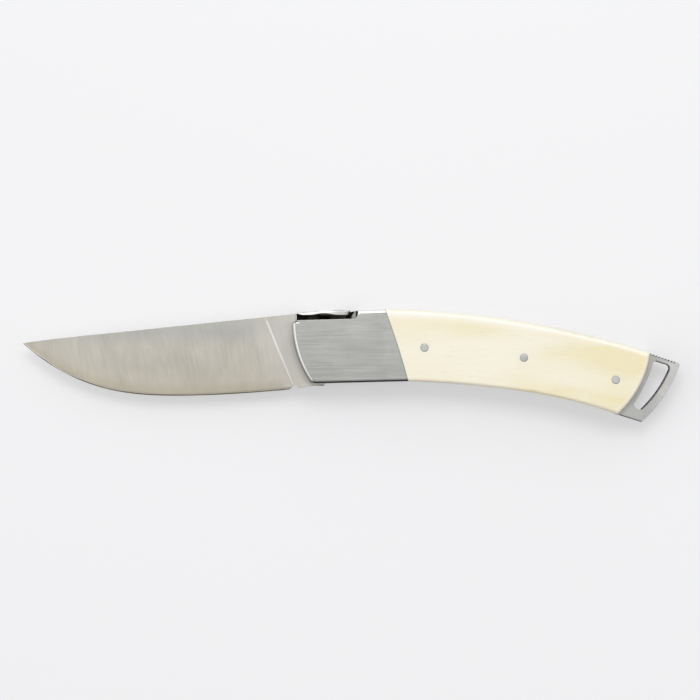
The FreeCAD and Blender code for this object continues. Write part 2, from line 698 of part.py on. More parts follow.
def make_filework_band():
    """The part of the spine that is filed away around the ridge, on a floor that follows the spine."""
    top = "joint_top_height + overrun"
    outline = [
        ("filework_front_reach", "spine_front_height - filework_depth"),
        ("joint_top_reach", "joint_top_height - filework_depth"),
        ("handle_rear_reach", "spine_rear_height - filework_depth", "0", "spine_bow"),
        ("handle_rear_reach", top),
        ("filework_front_reach", top),
    ]
    thickness = "blade_thickness + 2 * overrun"
    body = plate("filework_band", f"{BLADE_LEVEL} - overrun", thickness, [outline])
    rear_stop = new_sketch(body, "rear_stop", "XY_Plane", MIDDLE_LEVEL)
    below = "spine_rear_height - filework_depth - overrun"
    add_loop(rear_stop, [
        ("handle_rear_reach - filework_rear_inset", below),
        ("handle_rear_reach + overrun", below),
        ("handle_rear_reach + overrun", f"{top} + overrun"),
        ("handle_rear_reach - filework_rear_inset", f"{top} + overrun"),
    ])
    add_pocket(body, rear_stop, f"{thickness} + 2 * overrun", both_ways=True)
    return body


def strip(spot, centre, radius, begin, finish, width):
    """A flat strip of a given width along an arc, between two angles measured from straight down."""
    rims = []
    for rim in (radius - width / 2, radius + width / 2):
        angles = (begin, (begin + finish) / 2, finish)
        points = [spot(centre[0] + rim * math.sin(angle), centre[1] - rim * math.cos(angle))
                  for angle in angles]
        rims.append(Part.Arc(*points).toShape())
    caps = []
    for parameter in ("FirstParameter", "LastParameter"):
        caps.append(Part.makeLine(*(rim.valueAt(getattr(rim, parameter)) for rim in rims)))
    return Part.Face(Part.Wire(Part.__sortEdges__([*rims, *caps])))


def make_filework_ridge():
    """The weaving ridge of the filed spine: crossing strokes and scallops, all made of arcs."""
    width = value("ridge_width")
    swing = value("(blade_thickness - ridge_width) / 2")
    begin = value("filework_front_reach")
    unit = (value("handle_rear_reach - filework_rear_inset") - begin) / FILEWORK_UNITS
    crossing = unit * CROSSING_SHARE
    quarter = (unit - crossing) / 4
    wide = ((crossing / 2) ** 2 + swing ** 2) / (2 * swing)
    lean = math.asin(crossing / 2 / wide)
    round_radius = (quarter ** 2 + (2 * swing) ** 2) / (4 * swing)
    open_angle = math.atan2(quarter, round_radius - 2 * swing)
    strokes = [
        ((0, swing - wide), wide, math.pi - lean, math.pi),
        ((crossing, wide - swing), wide, -lean, 0),
        ((crossing, round_radius - swing), round_radius, 0, open_angle),
        ((crossing + 2 * quarter, round_radius - swing), round_radius, -open_angle, open_angle),
        ((crossing + 4 * quarter, round_radius - swing), round_radius, -open_angle, 0),
    ]
    strips = []
    low = value("spine_rear_height - tail_height")
    for number in range(FILEWORK_UNITS):
        start = FreeCAD.Vector(begin + unit * number, low, value(MIDDLE_LEVEL))
        side = (-1) ** number
        for stroke in strokes:
            strips.append(strip(lambda x, z: start + FreeCAD.Vector(x, 0, side * z), *stroke, width))
    tall = FreeCAD.Vector(0, value("joint_top_height + 2 * tail_height"), 0)
    solids = [face.extrude(tall) for face in strips]
    feature = doc.addObject("Part::Feature", "filework_ridge")
    feature.Shape = solids[0].multiFuse(solids[1:])
    return feature


def make_lock_bar():
    blank = combine("Fuse", "bar_with_fly", make_bar_blank(), make_fly())
    band = make_filework_band()
    filed = combine("Cut", "filed_bar", blank, band)
    spine = combine("Common", "blank_spine", blank, band)
    ridge = combine("Common", "spine_ridge", spine, make_filework_ridge())
    combine("Fuse", "lock_bar", filed, ridge)


def make_spring():
    """Block between the liners, the leaf that it carries and the rivet that holds the leaf."""
    front = f"({REAR_RIVET[0]} - block_front_inset)"
    back = f"({REAR_RIVET[0]} + block_rear_inset)"
    top = f"({REAR_RIVET[1]} + block_top_inset)"
    bottom = f"({REAR_RIVET[1]} - block_bottom_inset)"
    block = plate("spring_block", CHANNEL_LEVEL, CHANNEL,
                  [[(front, bottom), (back, bottom), (back, top), (front, top)]],
                  [(REAR_RIVET, "rivet_diameter"), (BLOCK_PIN, "block_pin_diameter")])
    tip = f"({front} - spring_length)"
    fall = f"(({BOSS_BOTTOM} - {UNDERSIDE_TURN[1]}) / ({UNDERSIDE_TURN[0]} - {LOCK_PIVOT[0]}))"
    tip_height = f"({BOSS_BOTTOM} - ({tip} - {LOCK_PIVOT[0]}) * {fall} - spring_gap)"
    leaf = plate("lock_spring", BLADE_LEVEL, "blade_thickness", [[
        (back, top),
        (back, f"{top} + spring_thickness"),
        (front, f"{top} + spring_thickness"),
        (tip, tip_height, "0", "-spring_bow"),
        (tip, f"{tip_height} - spring_thickness"),
        (front, top, "0", "-spring_bow"),
    ]])
    spot = (f"{REAR_RIVET[0]} + spring_rivet_reach", MIDDLE_LEVEL)
    hole = new_sketch(block, "rivet_seat", "XZ_Plane", f"-({top})")
    add_circle(hole, spot, "spring_rivet_diameter")
    add_pocket(block, hole, "spring_rivet_seat", reverse=True)
    bore = new_sketch(leaf, "rivet_hole", "XZ_Plane", f"-({top} + spring_thickness)")
    add_circle(bore, spot, "spring_rivet_diameter")
    add_pocket(leaf, bore, "spring_thickness", reverse=True)
    rivet = new_body("spring_rivet")
    shank = new_sketch(rivet, "shank", "XZ_Plane", f"-({top} - spring_rivet_seat)")
    add_circle(shank, spot, "spring_rivet_diameter")
    add_pad(rivet, shank, "spring_rivet_seat + spring_thickness", reverse=True)
    head = new_sketch(rivet, "head", "XZ_Plane", f"-({top} + spring_thickness)")
    add_circle(head, spot, "spring_rivet_head")
    add_pad(rivet, head, "spring_rivet_head_height", reverse=True)


make_liner("right", RIGHT_LINER_LEVEL)
make_liner("left", LEFT_LINER_LEVEL)
make_bolster("right", "0", "0", RIGHT_LINER_LEVEL, False)
make_bolster("left", LEFT_COVER_LEVEL, TOP_LEVEL, LEFT_COVER_LEVEL, True)
make_scale("right", "0", "0")
make_scale("left", LEFT_COVER_LEVEL, TOP_LEVEL)
make_pins()
make_blade()
make_lock_bar()
make_spring()
doc.recompute()

SIDED = ["liner", "bolster", "scale", "front_rivet", "middle_rivet"]
SIDED += ["bolster_upper_pin", "bolster_lower_pin"]
NODES = [f"{side}_{name}" for side in ("left", "right") for name in SIDED]
NODES += ["blade", "lock_bar", "lock_spring", "spring_block", "spring_rivet", "spring_block_pin",
          "blade_pivot_pin", "lock_pivot_pin", "rear_rivet"]

faults = [thing.Name for thing in doc.Objects if {"Invalid", "Error"} & set(thing.State)]
shapes = {node: doc.getObjectsByLabel(node)[0].Shape for node in NODES}
for node, shape in shapes.items():
    if shape.isNull() or not shape.isValid() or not shape.Solids:
        faults.append(node)
if faults:
    raise RuntimeError(f"failed: {faults}")
os.makedirs("parts", exist_ok=True)
for node, shape in shapes.items():
    shape.exportStep(f"parts/{node}.step")
    print(f"{node}: {len(shape.Solids)} solid, {shape.Volume:.2f} mm3")
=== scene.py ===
# %% [markdown]
# # A folding pocket knife, dressed for its picture
#
# The knife is already modelled as solid pieces: a blade, two liners, two bolsters, two bone scales, a lock
# bar and the pins that hold them. This lesson loads those pieces as a fixed frame, adds the few small things
# that are nicer to model, and then spends most of its time on finishes, because a knife is mostly steel and
# bone seen from close by.

# %% Load the imported pieces
import math
from functools import partial, reduce

import bpy
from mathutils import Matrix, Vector


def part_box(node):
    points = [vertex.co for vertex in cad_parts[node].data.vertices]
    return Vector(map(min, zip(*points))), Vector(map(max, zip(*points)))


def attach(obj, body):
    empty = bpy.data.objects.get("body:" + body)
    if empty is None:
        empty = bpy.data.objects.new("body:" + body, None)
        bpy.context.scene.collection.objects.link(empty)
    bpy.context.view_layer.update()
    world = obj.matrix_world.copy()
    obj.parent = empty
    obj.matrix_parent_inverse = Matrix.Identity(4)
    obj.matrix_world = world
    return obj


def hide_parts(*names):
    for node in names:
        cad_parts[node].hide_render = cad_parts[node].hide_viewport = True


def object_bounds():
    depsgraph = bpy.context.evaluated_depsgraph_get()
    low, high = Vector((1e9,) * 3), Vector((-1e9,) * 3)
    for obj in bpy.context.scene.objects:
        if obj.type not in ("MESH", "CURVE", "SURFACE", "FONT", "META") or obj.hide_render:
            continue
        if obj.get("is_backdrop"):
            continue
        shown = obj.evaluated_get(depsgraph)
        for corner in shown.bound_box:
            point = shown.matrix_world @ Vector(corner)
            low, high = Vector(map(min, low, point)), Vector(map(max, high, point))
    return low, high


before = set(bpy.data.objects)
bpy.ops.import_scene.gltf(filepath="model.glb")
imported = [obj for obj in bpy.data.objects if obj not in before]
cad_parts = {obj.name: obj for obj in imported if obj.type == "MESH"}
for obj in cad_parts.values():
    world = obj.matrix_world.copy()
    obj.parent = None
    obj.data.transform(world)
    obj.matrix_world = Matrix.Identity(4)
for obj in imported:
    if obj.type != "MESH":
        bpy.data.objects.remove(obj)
cad_low, cad_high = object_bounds()
MM = 0.001
print("pieces:", len(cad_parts), "size in mm:", [round(side / MM, 2) for side in cad_high - cad_low])

# %% [markdown]
# The knife lies on its right side with the blade open. +X runs towards the tail of the handle, +Y towards
# the spine and +Z up at the camera. The blade pivot is at the origin. Everything in Blender is in metres, so
# a length that is easier to read in millimetres is multiplied by MM where it is used.
#
# Colours should look the way they are written, so the view transform is Standard, which adds no film curve.

# %% Plain colours
scene = bpy.context.scene
scene.view_settings.view_transform = "Standard"
print("view transform:", scene.view_settings.view_transform)

# %% [markdown]
# ## Helpers for nodes
#
# A material is a small network of nodes. Adding one node takes three or four lines by hand, so this helper
# adds a node, sets its options and fills its inputs: a plain value goes into the socket, and another node's
# output is linked to it.

# %% Helper that adds a node
def put(tree, kind, sockets=None, **options):
    node = tree.nodes.new(kind)
    for name, option in options.items():
        setattr(node, name, option)
    for key, given in (sockets or {}).items():
        if isinstance(given, bpy.types.NodeSocket):
            tree.links.new(given, node.inputs[key])
        else:
            node.inputs[key].default_value = given
    return node


print("node helper ready")

# %% [markdown]
# Most of a finish is arithmetic on masks. A mask is a number that says how much of an effect a point gets.
# Masks multiplied together are high only where all of them are. A socket knows its tree, as id_data, so
# these helpers need only sockets.

# %% Helpers for masks
def reckon(operation, *terms):
    """One step of arithmetic, as a node, with its result as a socket."""
    tree = next(term.id_data for term in terms if isinstance(term, bpy.types.NodeSocket))
    return put(tree, "ShaderNodeMath", dict(enumerate(terms)), operation=operation).outputs[0]


def times(*masks):
    """Masks multiplied together."""
    return reduce(partial(reckon, "MULTIPLY"), masks)


def highest(*masks):
    """The highest of several masks at each point."""
    return reduce(partial(reckon, "MAXIMUM"), masks)


print("mask helpers ready")

# %% [markdown]
# A soft step turns an amount into a mask. It is written as four numbers, a low limit, a high limit and the
# strengths below and above them, or as two for a step from 0 to 1. A ramp is the same for a length, with
# limits in millimetres.

# %% Helpers for soft steps
def soft_step(amount, low, high, start=0.0, finish=1.0):
    """Start below low, finish above high, and a smooth change between them."""
    names = {"Value": amount, "From Min": low, "From Max": high, "To Min": start, "To Max": finish}
    return put(amount.id_data, "ShaderNodeMapRange", names, interpolation_type="SMOOTHSTEP").outputs["Result"]


def ease(amount, *steps):
    """Soft steps of one amount, multiplied together."""
    return times(*(soft_step(amount, *step) for step in steps))


def ramp(length, *steps):
    """The same along a length, with limits in millimetres."""
    return times(*(soft_step(length, low * MM, high * MM, *ends) for low, high, *ends in steps))


print("step helpers ready")

# %% [markdown]
# Colours are mixed by a mask. The Mix node has sockets for numbers, vectors and colours side by side, so its
# colours are picked by position.

# %% Helpers for colours
MIX_AMOUNT, MIX_FIRST, MIX_SECOND, MIX_RESULT = 0, 6, 7, 2


def rgb(red, green, blue):
    return red, green, blue, 1.0


def mix(amount, first, second):
    """Mix two colours by a mask."""
    sockets = {MIX_AMOUNT: amount, MIX_FIRST: first, MIX_SECOND: second}
    return put(amount.id_data, "ShaderNodeMix", sockets, data_type="RGBA").outputs[MIX_RESULT]


print("colour helpers ready")

# %% [markdown]
# Where a point lies and which way its surface faces are vectors. A finish asks for a vector's X, Y and Z
# shares, or how far it reaches along some direction, which is a dot product.

# %% Helpers for places and directions
def axes(vector):
    """The X, Y and Z shares of a vector."""
    return put(vector.id_data, "ShaderNodeSeparateXYZ", {0: vector}).outputs


def combine(operation, first, second):
    """One step of arithmetic on vectors."""
    return put(first.id_data, "ShaderNodeVectorMath", {0: first, 1: second}, operation=operation).outputs


def toward(vector, way):
    """How far a vector reaches along a direction."""
    return combine("DOT_PRODUCT", vector, way)["Value"]


def surface_normal(tree):
    return put(tree, "ShaderNodeNewGeometry").outputs["Normal"]


def flatness(tree):
    """1 where the surface lies flat, 0 on an upright wall."""
    return reckon("ABSOLUTE", axes(surface_normal(tree))[2])


print("vector helpers ready")

# %% [markdown]
# Noise is where detail comes from: smooth random values over space. Its scale says how many waves fit into a
# metre. Coordinates that are turned and stretched first give a noise with a direction.

# %% Helpers for noise
def noise(place, scale, detail, **others):
    sockets = {"Vector": place, "Scale": scale, "Detail": detail, **others}
    return put(place.id_data, "ShaderNodeTexNoise", sockets).outputs[0]


def stretch(place, turn, scale):
    """Coordinates turned about Z and stretched along each axis."""
    sockets = {"Vector": place, "Rotation": (0.0, 0.0, turn), "Scale": scale}
    return put(place.id_data, "ShaderNodeMapping", sockets).outputs[0]


print("noise helpers ready")

# %% [markdown]
# An effect that several finishes share is built once, as a node group, and then placed in each material with
# its own numbers. These helpers start a group with named inputs and outputs, and put a finished one into a
# material.

# %% Helpers for node groups
def start_group(name, inputs, outputs):
    tree = bpy.data.node_groups.new(name, "ShaderNodeTree")
    for kind, label, value in inputs:
        socket = tree.interface.new_socket(label, in_out="INPUT", socket_type=f"NodeSocket{kind}")
        if kind == "Float":
            socket.default_value = value
    for kind, label in outputs:
        tree.interface.new_socket(label, in_out="OUTPUT", socket_type=f"NodeSocket{kind}")
    return tree, tree.nodes.new("NodeGroupInput").outputs, tree.nodes.new("NodeGroupOutput").inputs


def place_group(group, place, sockets=None):
    return put(place.id_data, "ShaderNodeGroup", {"Place": place, **(sockets or {})}, node_tree=group).outputs


print("group helpers ready")

# %% [markdown]
# ## Shared effects
#
# Satin steel gets its look from an abrasive belt: thousands of fine parallel strokes, each a little lighter
# or darker than the next. A noise that is squeezed across the strokes and stretched along them gives just
# that. The group turns the coordinates first, so that the blade can be brushed across and the bolsters
# lengthwise. It also puts out wide bands, the places where the belt pressed harder.

# %% Brush strokes
STROKE_CONTRAST, BAND_CONTRAST = (0.3, 0.7), (0.32, 0.68)
STROKES, given, made = start_group(
    "belt_strokes",
    [("Vector", "Place", None), ("Float", "Turn", 0.0), ("Float", "Across", 2000.0),
     ("Float", "Along", 60.0)],
    [("Float", "Strokes"), ("Float", "Bands")],
)
turned = put(STROKES, "ShaderNodeVectorRotate", {"Vector": given["Place"], "Angle": given["Turn"]},
             rotation_type="Z_AXIS").outputs[0]
factors = given["Along"], given["Across"], given["Across"]
sides = [times(side, factor) for side, factor in zip(axes(turned), factors)]
drawn_out = put(STROKES, "ShaderNodeCombineXYZ", dict(enumerate(sides))).outputs[0]
fine = noise(drawn_out, scale=1.0, detail=4.0, Roughness=0.62)
wide = noise(drawn_out, scale=0.09, detail=2.0, Roughness=0.5)
STROKES.links.new(ease(fine, STROKE_CONTRAST), made["Strokes"])
STROKES.links.new(ease(wide, BAND_CONTRAST), made["Bands"])
print("group:", STROKES.name)

# %% [markdown]
# No ground edge on a real knife is perfectly sharp. The Bevel node looks for corners near each point and
# bends the normal across them, so every arris catches a thin line of light. Where that bent normal differs
# from the true one there is an edge, and that difference is a ready-made mask for wear: edges are rubbed
# brighter first.

# %% Soft, worn edges
EDGE_LIKENESS, PATCHY_WEAR = (0.8, 0.99, 1.0, 0.0), (0.3, 0.6, 0.45, 1.0)
EDGES, given, made = start_group(
    "rubbed_edges",
    [("Vector", "Place", None), ("Float", "Radius", 0.15 * MM)],
    [("Vector", "Normal"), ("Float", "Wear")],
)
rounded = put(EDGES, "ShaderNodeBevel", {"Radius": given["Radius"]}, samples=6).outputs[0]
corner = ease(toward(rounded, surface_normal(EDGES)), EDGE_LIKENESS)
patchy = ease(noise(given["Place"], scale=420.0, detail=3.0), PATCHY_WEAR)
EDGES.links.new(rounded, made["Normal"])
EDGES.links.new(times(corner, patchy), made["Wear"])
print("group:", EDGES.name)

# %% [markdown]
# A knife that has been handled has faint smudges, where a thumb left the steel a little duller, and a few
# hair scratches in odd directions. Both are slight. The smudges are a soft noise, and the scratches are the
# thin crossings of a warped noise with its own middle value.

# %% Smudges and hair scratches
SMUDGE_CONTRAST, HAIR_WIDTH, HAIR_PLACES = (0.35, 0.7), (0.0, 0.012, 1.0, 0.0), (0.52, 0.66)
MARKS, given, made = start_group(
    "handling_marks", [("Vector", "Place", None)], [("Float", "Smudge"), ("Float", "Scratch")],
)
soft = noise(given["Place"], scale=95.0, detail=3.0, Distortion=0.6)
slanted = stretch(given["Place"], turn=0.62, scale=(90.0, 640.0, 300.0))
hair = noise(slanted, scale=1.0, detail=1.0, Distortion=0.35)
from_middle = reckon("ABSOLUTE", reckon("SUBTRACT", hair, 0.5))
sparse = ease(noise(given["Place"], scale=130.0, detail=2.0), HAIR_PLACES)
MARKS.links.new(ease(soft, SMUDGE_CONTRAST), made["Smudge"])
MARKS.links.new(times(ease(from_middle, HAIR_WIDTH), sparse), made["Scratch"])
print("group:", MARKS.name)

# %% [markdown]
# Many outlines of this knife are arcs through three known points. The circle of such an arc tells how deep
# inside it each point lies.

# %% Helpers for arcs
def circle_through(first, middle, last):
    """Centre and radius of the circle through three points of a plane."""
    (ax, ay), (bx, by), (cx, cy) = first, middle, last
    twice = 2 * (ax * (by - cy) + bx * (cy - ay) + cx * (ay - by))
    a, b, c = (x * x + y * y for x, y in (first, middle, last))
    x = (a * (by - cy) + b * (cy - ay) + c * (ay - by)) / twice
    y = (a * (cx - bx) + b * (ax - cx) + c * (bx - ax)) / twice
    return (x, y), math.hypot(ax - x, ay - y)


def distance_from(place, centre):
    """How far each point lies from an upright axis."""
    flat = combine("MULTIPLY", place, (1.0, 1.0, 0.0))["Vector"]
    return combine("DISTANCE", flat, (centre[0] * MM, centre[1] * MM, 0.0))["Value"]


def depth_inside(place, arc):
    """How deep each point lies inside the circle of an arc. Outside it is negative."""
    centre, radius = circle_through(*arc)
    return reckon("SUBTRACT", radius * MM, distance_from(place, centre))


print("arc helpers ready")

# %% [markdown]
# The bone meets the bolster along a long slanted seam that bows very slightly. However well it is fitted, a
# hair of shadow and polish shows there. The distance from the seam's arc gives the line for both neighbours.

# %% The seam between bolster and bone
SEAM_ARC = (16.3, 15.4), (20.15, 4.35), (23.4, -6.7)
SEAM_FADE = (0.3, 1.2, 1.0, 0.0)
SEAM, given, made = start_group(
    "fitted_seam", [("Vector", "Place", None), ("Float", "Half Width", 0.12 * MM)], [("Float", "Line")],
)
off = reckon("ABSOLUTE", depth_inside(given["Place"], SEAM_ARC))
SEAM.links.new(ease(reckon("DIVIDE", off, given["Half Width"]), SEAM_FADE), made["Line"])
print("group:", SEAM.name, "radius in mm:", round(circle_through(*SEAM_ARC)[1], 1))

# %% [markdown]
# ## Starting a finish
#
# Every finish begins the same way: a Principled shader and the object's own coordinates. Those are in metres
# in the knife's frame, so a stroke keeps its real width on every piece.

# %% Helpers that start a finish
def start_finish(name, metallic, roughness):
    material = bpy.data.materials.new(name)
    material.use_nodes = True
    tree = material.node_tree
    shader = tree.nodes["Principled BSDF"]
    shader.inputs["Metallic"].default_value = metallic
    shader.inputs["Roughness"].default_value = roughness
    return material, tree, put(tree, "ShaderNodeTexCoord").outputs["Object"]


def shader_of(socket):
    """The Principled shader in the same tree as a socket."""
    return socket.id_data.nodes["Principled BSDF"]


def connect(name, given):
    """Link a result to one of the shader's inputs."""
    given.id_data.links.new(given, shader_of(given).inputs[name])


print("finish helpers ready")

# %% [markdown]
# A finish grows in layers, as paint does: each layer lies over the colour so far, where its mask is high.
# The finished material then takes the place of a piece's plain one.

# %% Helpers that layer a finish
def paint(colour, *masks):
    """Lay a colour over the finish so far, where all the masks are high."""
    so_far = shader_of(masks[0]).inputs["Base Color"].links[0].from_socket
    connect("Base Color", mix(times(*masks), so_far, colour))


def roughen(mask, amount):
    """Add to the roughness where the mask is high. A negative amount polishes."""
    so_far = shader_of(mask).inputs["Roughness"].links[0].from_socket
    connect("Roughness", reckon("MULTIPLY_ADD", mask, amount, so_far))


def dress(material, *names):
    """Give CAD pieces a finish."""
    for name in names:
        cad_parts[name].data.materials[0] = material
    print("finish:", material.name, "on", ", ".join(names))


print("layer helpers ready")

# %% [markdown]
# ## Satin steel
#
# The blade, the bolsters, the lock bar and the liners are all satin steel, so one recipe serves: a light and
# a dark tone mixed by the strokes, a little roughness from strokes and smudges, brighter worn edges and a
# very shallow bump. What changes from piece to piece is the tone, the direction of the belt and how coarse
# it was.

# %% Recipe for satin steel
WORN_STEEL, WORN_SHARE, WORN_POLISH = rgb(0.78, 0.78, 0.76), 0.45, -0.08
SCRATCHED_STEEL, SCRATCHED_SHARE = rgb(0.8, 0.8, 0.78), 0.25
STROKE_ROUGHNESS, SMUDGE_ROUGHNESS = 0.08, 0.07


def satin_steel(name, light, dark, turn, across, along, roughness, grain=0.5):
    material, tree, place = start_finish(name, 1.0, roughness)
    strokes = place_group(STROKES, place, {"Turn": turn, "Across": across, "Along": along})
    edges = place_group(EDGES, place)
    marks = place_group(MARKS, place)
    tone = reckon("ADD", times(strokes["Strokes"], grain), times(strokes["Bands"], 1.0 - grain))
    rough = reckon("MULTIPLY_ADD", strokes["Strokes"], STROKE_ROUGHNESS, roughness - STROKE_ROUGHNESS / 2)
    bump = put(tree, "ShaderNodeBump", {"Height": strokes["Strokes"], "Strength": 0.12, "Distance": 0.01 * MM,
                                        "Normal": edges["Normal"]}).outputs[0]
    connect("Base Color", mix(tone, dark, light))
    connect("Roughness", rough)
    connect("Normal", bump)
    paint(WORN_STEEL, edges["Wear"], WORN_SHARE)
    paint(SCRATCHED_STEEL, marks["Scratch"], SCRATCHED_SHARE)
    roughen(marks["Smudge"], SMUDGE_ROUGHNESS)
    roughen(edges["Wear"], WORN_POLISH)
    return material, tree, place


print("satin steel recipe ready")

# %% [markdown]
# ### The blade
#
# The blade's steel is a little warmer than the handle's and is brushed across, from spine to edge. It grows
# warmer towards the edge and greyer towards the spine, so two ramps over the height lay those tones on.

# %% Blade from edge to spine
WARM_LOW, WARM_STEEL = (-10.0, 6.0, 0.4, 0.0), rgb(0.64, 0.59, 0.475)
COOL_HIGH, COOL_STEEL = (3.0, 9.0, 0.0, 0.75), rgb(0.565, 0.573, 0.535)
BLADE_FLANK = (0.4, 0.7)
blade_steel, tree, place = satin_steel(
    "satin_blade_steel", rgb(0.7, 0.67, 0.59), rgb(0.64, 0.61, 0.53),
    turn=math.radians(80), across=2100.0, along=70.0, roughness=0.36)
reach, height = axes(place)[:2]
flank = ease(flatness(tree), BLADE_FLANK)
paint(WARM_STEEL, ramp(height, WARM_LOW))
paint(COOL_STEEL, ramp(height, COOL_HIGH))
print("finish:", blade_steel.name)

# %% [markdown]
# The plunge line is where the grind ends, a straight line from spine to heel. The shader measures how far
# each point lies beside it, and the steel in front grows paler towards it.

# %% Blade near the plunge line
def direction(start, end):
    """The way from one point of the plane to another, as a vector of length 1."""
    return Vector((end[0] - start[0], end[1] - start[1], 0.0)).normalized()


def left_of(place, start, end):
    """How far each point lies to the left of the line from start to end."""
    run = direction(start, end)
    left = Vector((-run.y, run.x, 0.0))
    return reckon("SUBTRACT", toward(place, left), left.dot(Vector((*start, 0.0))) * MM)


PLUNGE_TOP, PLUNGE_BOTTOM = (-20.75, 13.19), (-11.6, -9.15)
PALE_GRIND, PALE_STEEL = (-9.0, -0.5, 0.0, 0.75), rgb(0.74, 0.705, 0.64)
past_plunge = left_of(place, PLUNGE_TOP, PLUNGE_BOTTOM)
paint(PALE_STEEL, ramp(past_plunge, PALE_GRIND))
print("plunge line in mm:", round(math.dist(PLUNGE_TOP, PLUNGE_BOTTOM), 1))

# %% [markdown]
# The cutting edge is a free curve, neither line nor arc. A Float Curve node can hold it: drawn through a few
# points of the outline, scaled to the node's square of 0 to 1, it gives the edge's height for every reach.
# The height above that curve then places three layers: a tanned band, a painted highlight on the honed bevel
# and a line of painted shade along the edge itself.

# %% Cutting edge
EDGE_POINTS = [(-11.6, -9.15), (-29.97, -10.56), (-47.58, -11.15), (-62.32, -10.39), (-77.07, -6.6),
               (-89.73, 0.45), (-95.15, 4.85)]
SQUARE_WIDTH, SQUARE_HEIGHT, SQUARE_LIFT = 100.0, 20.0, 0.6
BEFORE_PLUNGE = (-4.0, -1.5, 1.0, 0.0)
# The second layer is a painted highlight on the bevel, the third a line of painted shade at the edge.
EDGE_LAYERS = [((0.4, 4.6, 0.62, 0.0), rgb(0.58, 0.525, 0.4)),
               ((0.65, 0.85, 0.75, 0.0), rgb(0.95, 0.88, 0.73)),
               ((0.22, 0.46, 0.9, 0.0), rgb(0.17, 0.15, 0.12))]
outline = put(tree, "ShaderNodeFloatCurve", {"Value": reckon("DIVIDE", reach, -SQUARE_WIDTH * MM)})
spots = [(-x / SQUARE_WIDTH, y / SQUARE_HEIGHT + SQUARE_LIFT) for x, y in EDGE_POINTS]
curve = outline.mapping.curves[0].points
curve[0].location, curve[1].location = spots[0], spots[-1]
for spot in spots[1:-1]:
    curve.new(*spot)
outline.mapping.update()
lifted = reckon("SUBTRACT", outline.outputs[0], SQUARE_LIFT)
above_edge = reckon("SUBTRACT", height, times(lifted, SQUARE_HEIGHT * MM))
before = ramp(past_plunge, BEFORE_PLUNGE)
for band, tone in EDGE_LAYERS:
    paint(tone, ramp(above_edge, band), before)
print("edge curve points:", len(curve), "layers:", len(EDGE_LAYERS))

# %% [markdown]
# Behind the plunge line comes the ricasso, flat and a little greyer, and lighter at its foot. A soft line of
# painted shadow follows the arc where the blade enters the bolsters, and painted shade darkens the kick, the
# small nub under the tang.

# %% Ricasso
BEHIND_PLUNGE, TANG_FOOT = (0.0, 0.6, 0.0, 0.85), (-9.0, 1.0, 0.9, 0.0)
TANG_STEEL, FOOT_STEEL = rgb(0.57, 0.555, 0.515), rgb(0.66, 0.63, 0.565)
MOUTH_ARC = (-12.0, 10.8), (-10.62, 2.2), (-6.62, -6.38)
MOUTH_SHADOW_LINE, MOUTH_SHADOW_HALO, MOUTH_SHADOW_INSIDE = (-0.7, -0.15, 0.0, 0.45), (-3.0, 0.0, 0.0, 0.28), (0.05, 0.5, 1.0, 0.0)
MOUTH_SHADOW_HEIGHTS = [(11.0, 11.9, 1.0, 0.0), (-7.7, -7.0), (5.0, 8.0, 1.0, 0.6)]
KICK_HEIGHT, KICK_REACH = (-7.9, -7.7, 0.95, 0.0), (-6.4, -5.8)
MOUTH_SHADOW_TONE, KICK_SHADE_TONE = rgb(0.2, 0.195, 0.18), rgb(0.09, 0.085, 0.075)
tang_tone = mix(ramp(height, TANG_FOOT), TANG_STEEL, FOOT_STEEL)
paint(tang_tone, ramp(past_plunge, BEHIND_PLUNGE))
inside = depth_inside(place, MOUTH_ARC)
# A soft line of painted shadow where the blade enters the bolsters.
mouth_shadow = reckon("ADD", ramp(inside, MOUTH_SHADOW_LINE), ramp(inside, MOUTH_SHADOW_HALO))
paint(MOUTH_SHADOW_TONE, mouth_shadow, ramp(inside, MOUTH_SHADOW_INSIDE), ramp(height, *MOUTH_SHADOW_HEIGHTS), flank)
# Painted shade on the kick under the tang.
paint(KICK_SHADE_TONE, ramp(height, KICK_HEIGHT), ramp(reach, KICK_REACH))
print("mouth radius in mm:", round(circle_through(*MOUTH_ARC)[1], 1))

# %% [markdown]
# The plunge gets a thin painted highlight, where a small polished radius would shine. It is weaker towards
# the heel, ends below the spine and, as the last layer, lies over all the others.

# %% Painted highlight on the plunge line
PLUNGE_HIGHLIGHT_WIDTH, PLUNGE_HIGHLIGHT_TONE = (0.05, 0.45, 0.9, 0.0), rgb(0.93, 0.92, 0.88)
PLUNGE_HIGHLIGHT_HEIGHT = (-9.0, 4.0, 0.25, 1.0), (11.0, 12.4, 1.0, 0.0)
beside = reckon("ABSOLUTE", past_plunge)
# A thin painted highlight along the plunge.
paint(PLUNGE_HIGHLIGHT_TONE, ramp(beside, PLUNGE_HIGHLIGHT_WIDTH), ramp(height, *PLUNGE_HIGHLIGHT_HEIGHT), flank)
dress(blade_steel, "blade")

# %% [markdown]
# ### The bolsters
#
# The bolsters are brushed lengthwise and sit a shade cooler and darker than the blade. Only their flat faces
# are brushed: the roundings were buffed, so wherever the surface tilts the steel turns smoother, and a
# painted highlight makes it brighter, a little less so at the front. Two roundings take painted shade
# instead, the brow above the blade and the belly, where it stands in for a dark reflection. A thin dark line
# follows the seam.

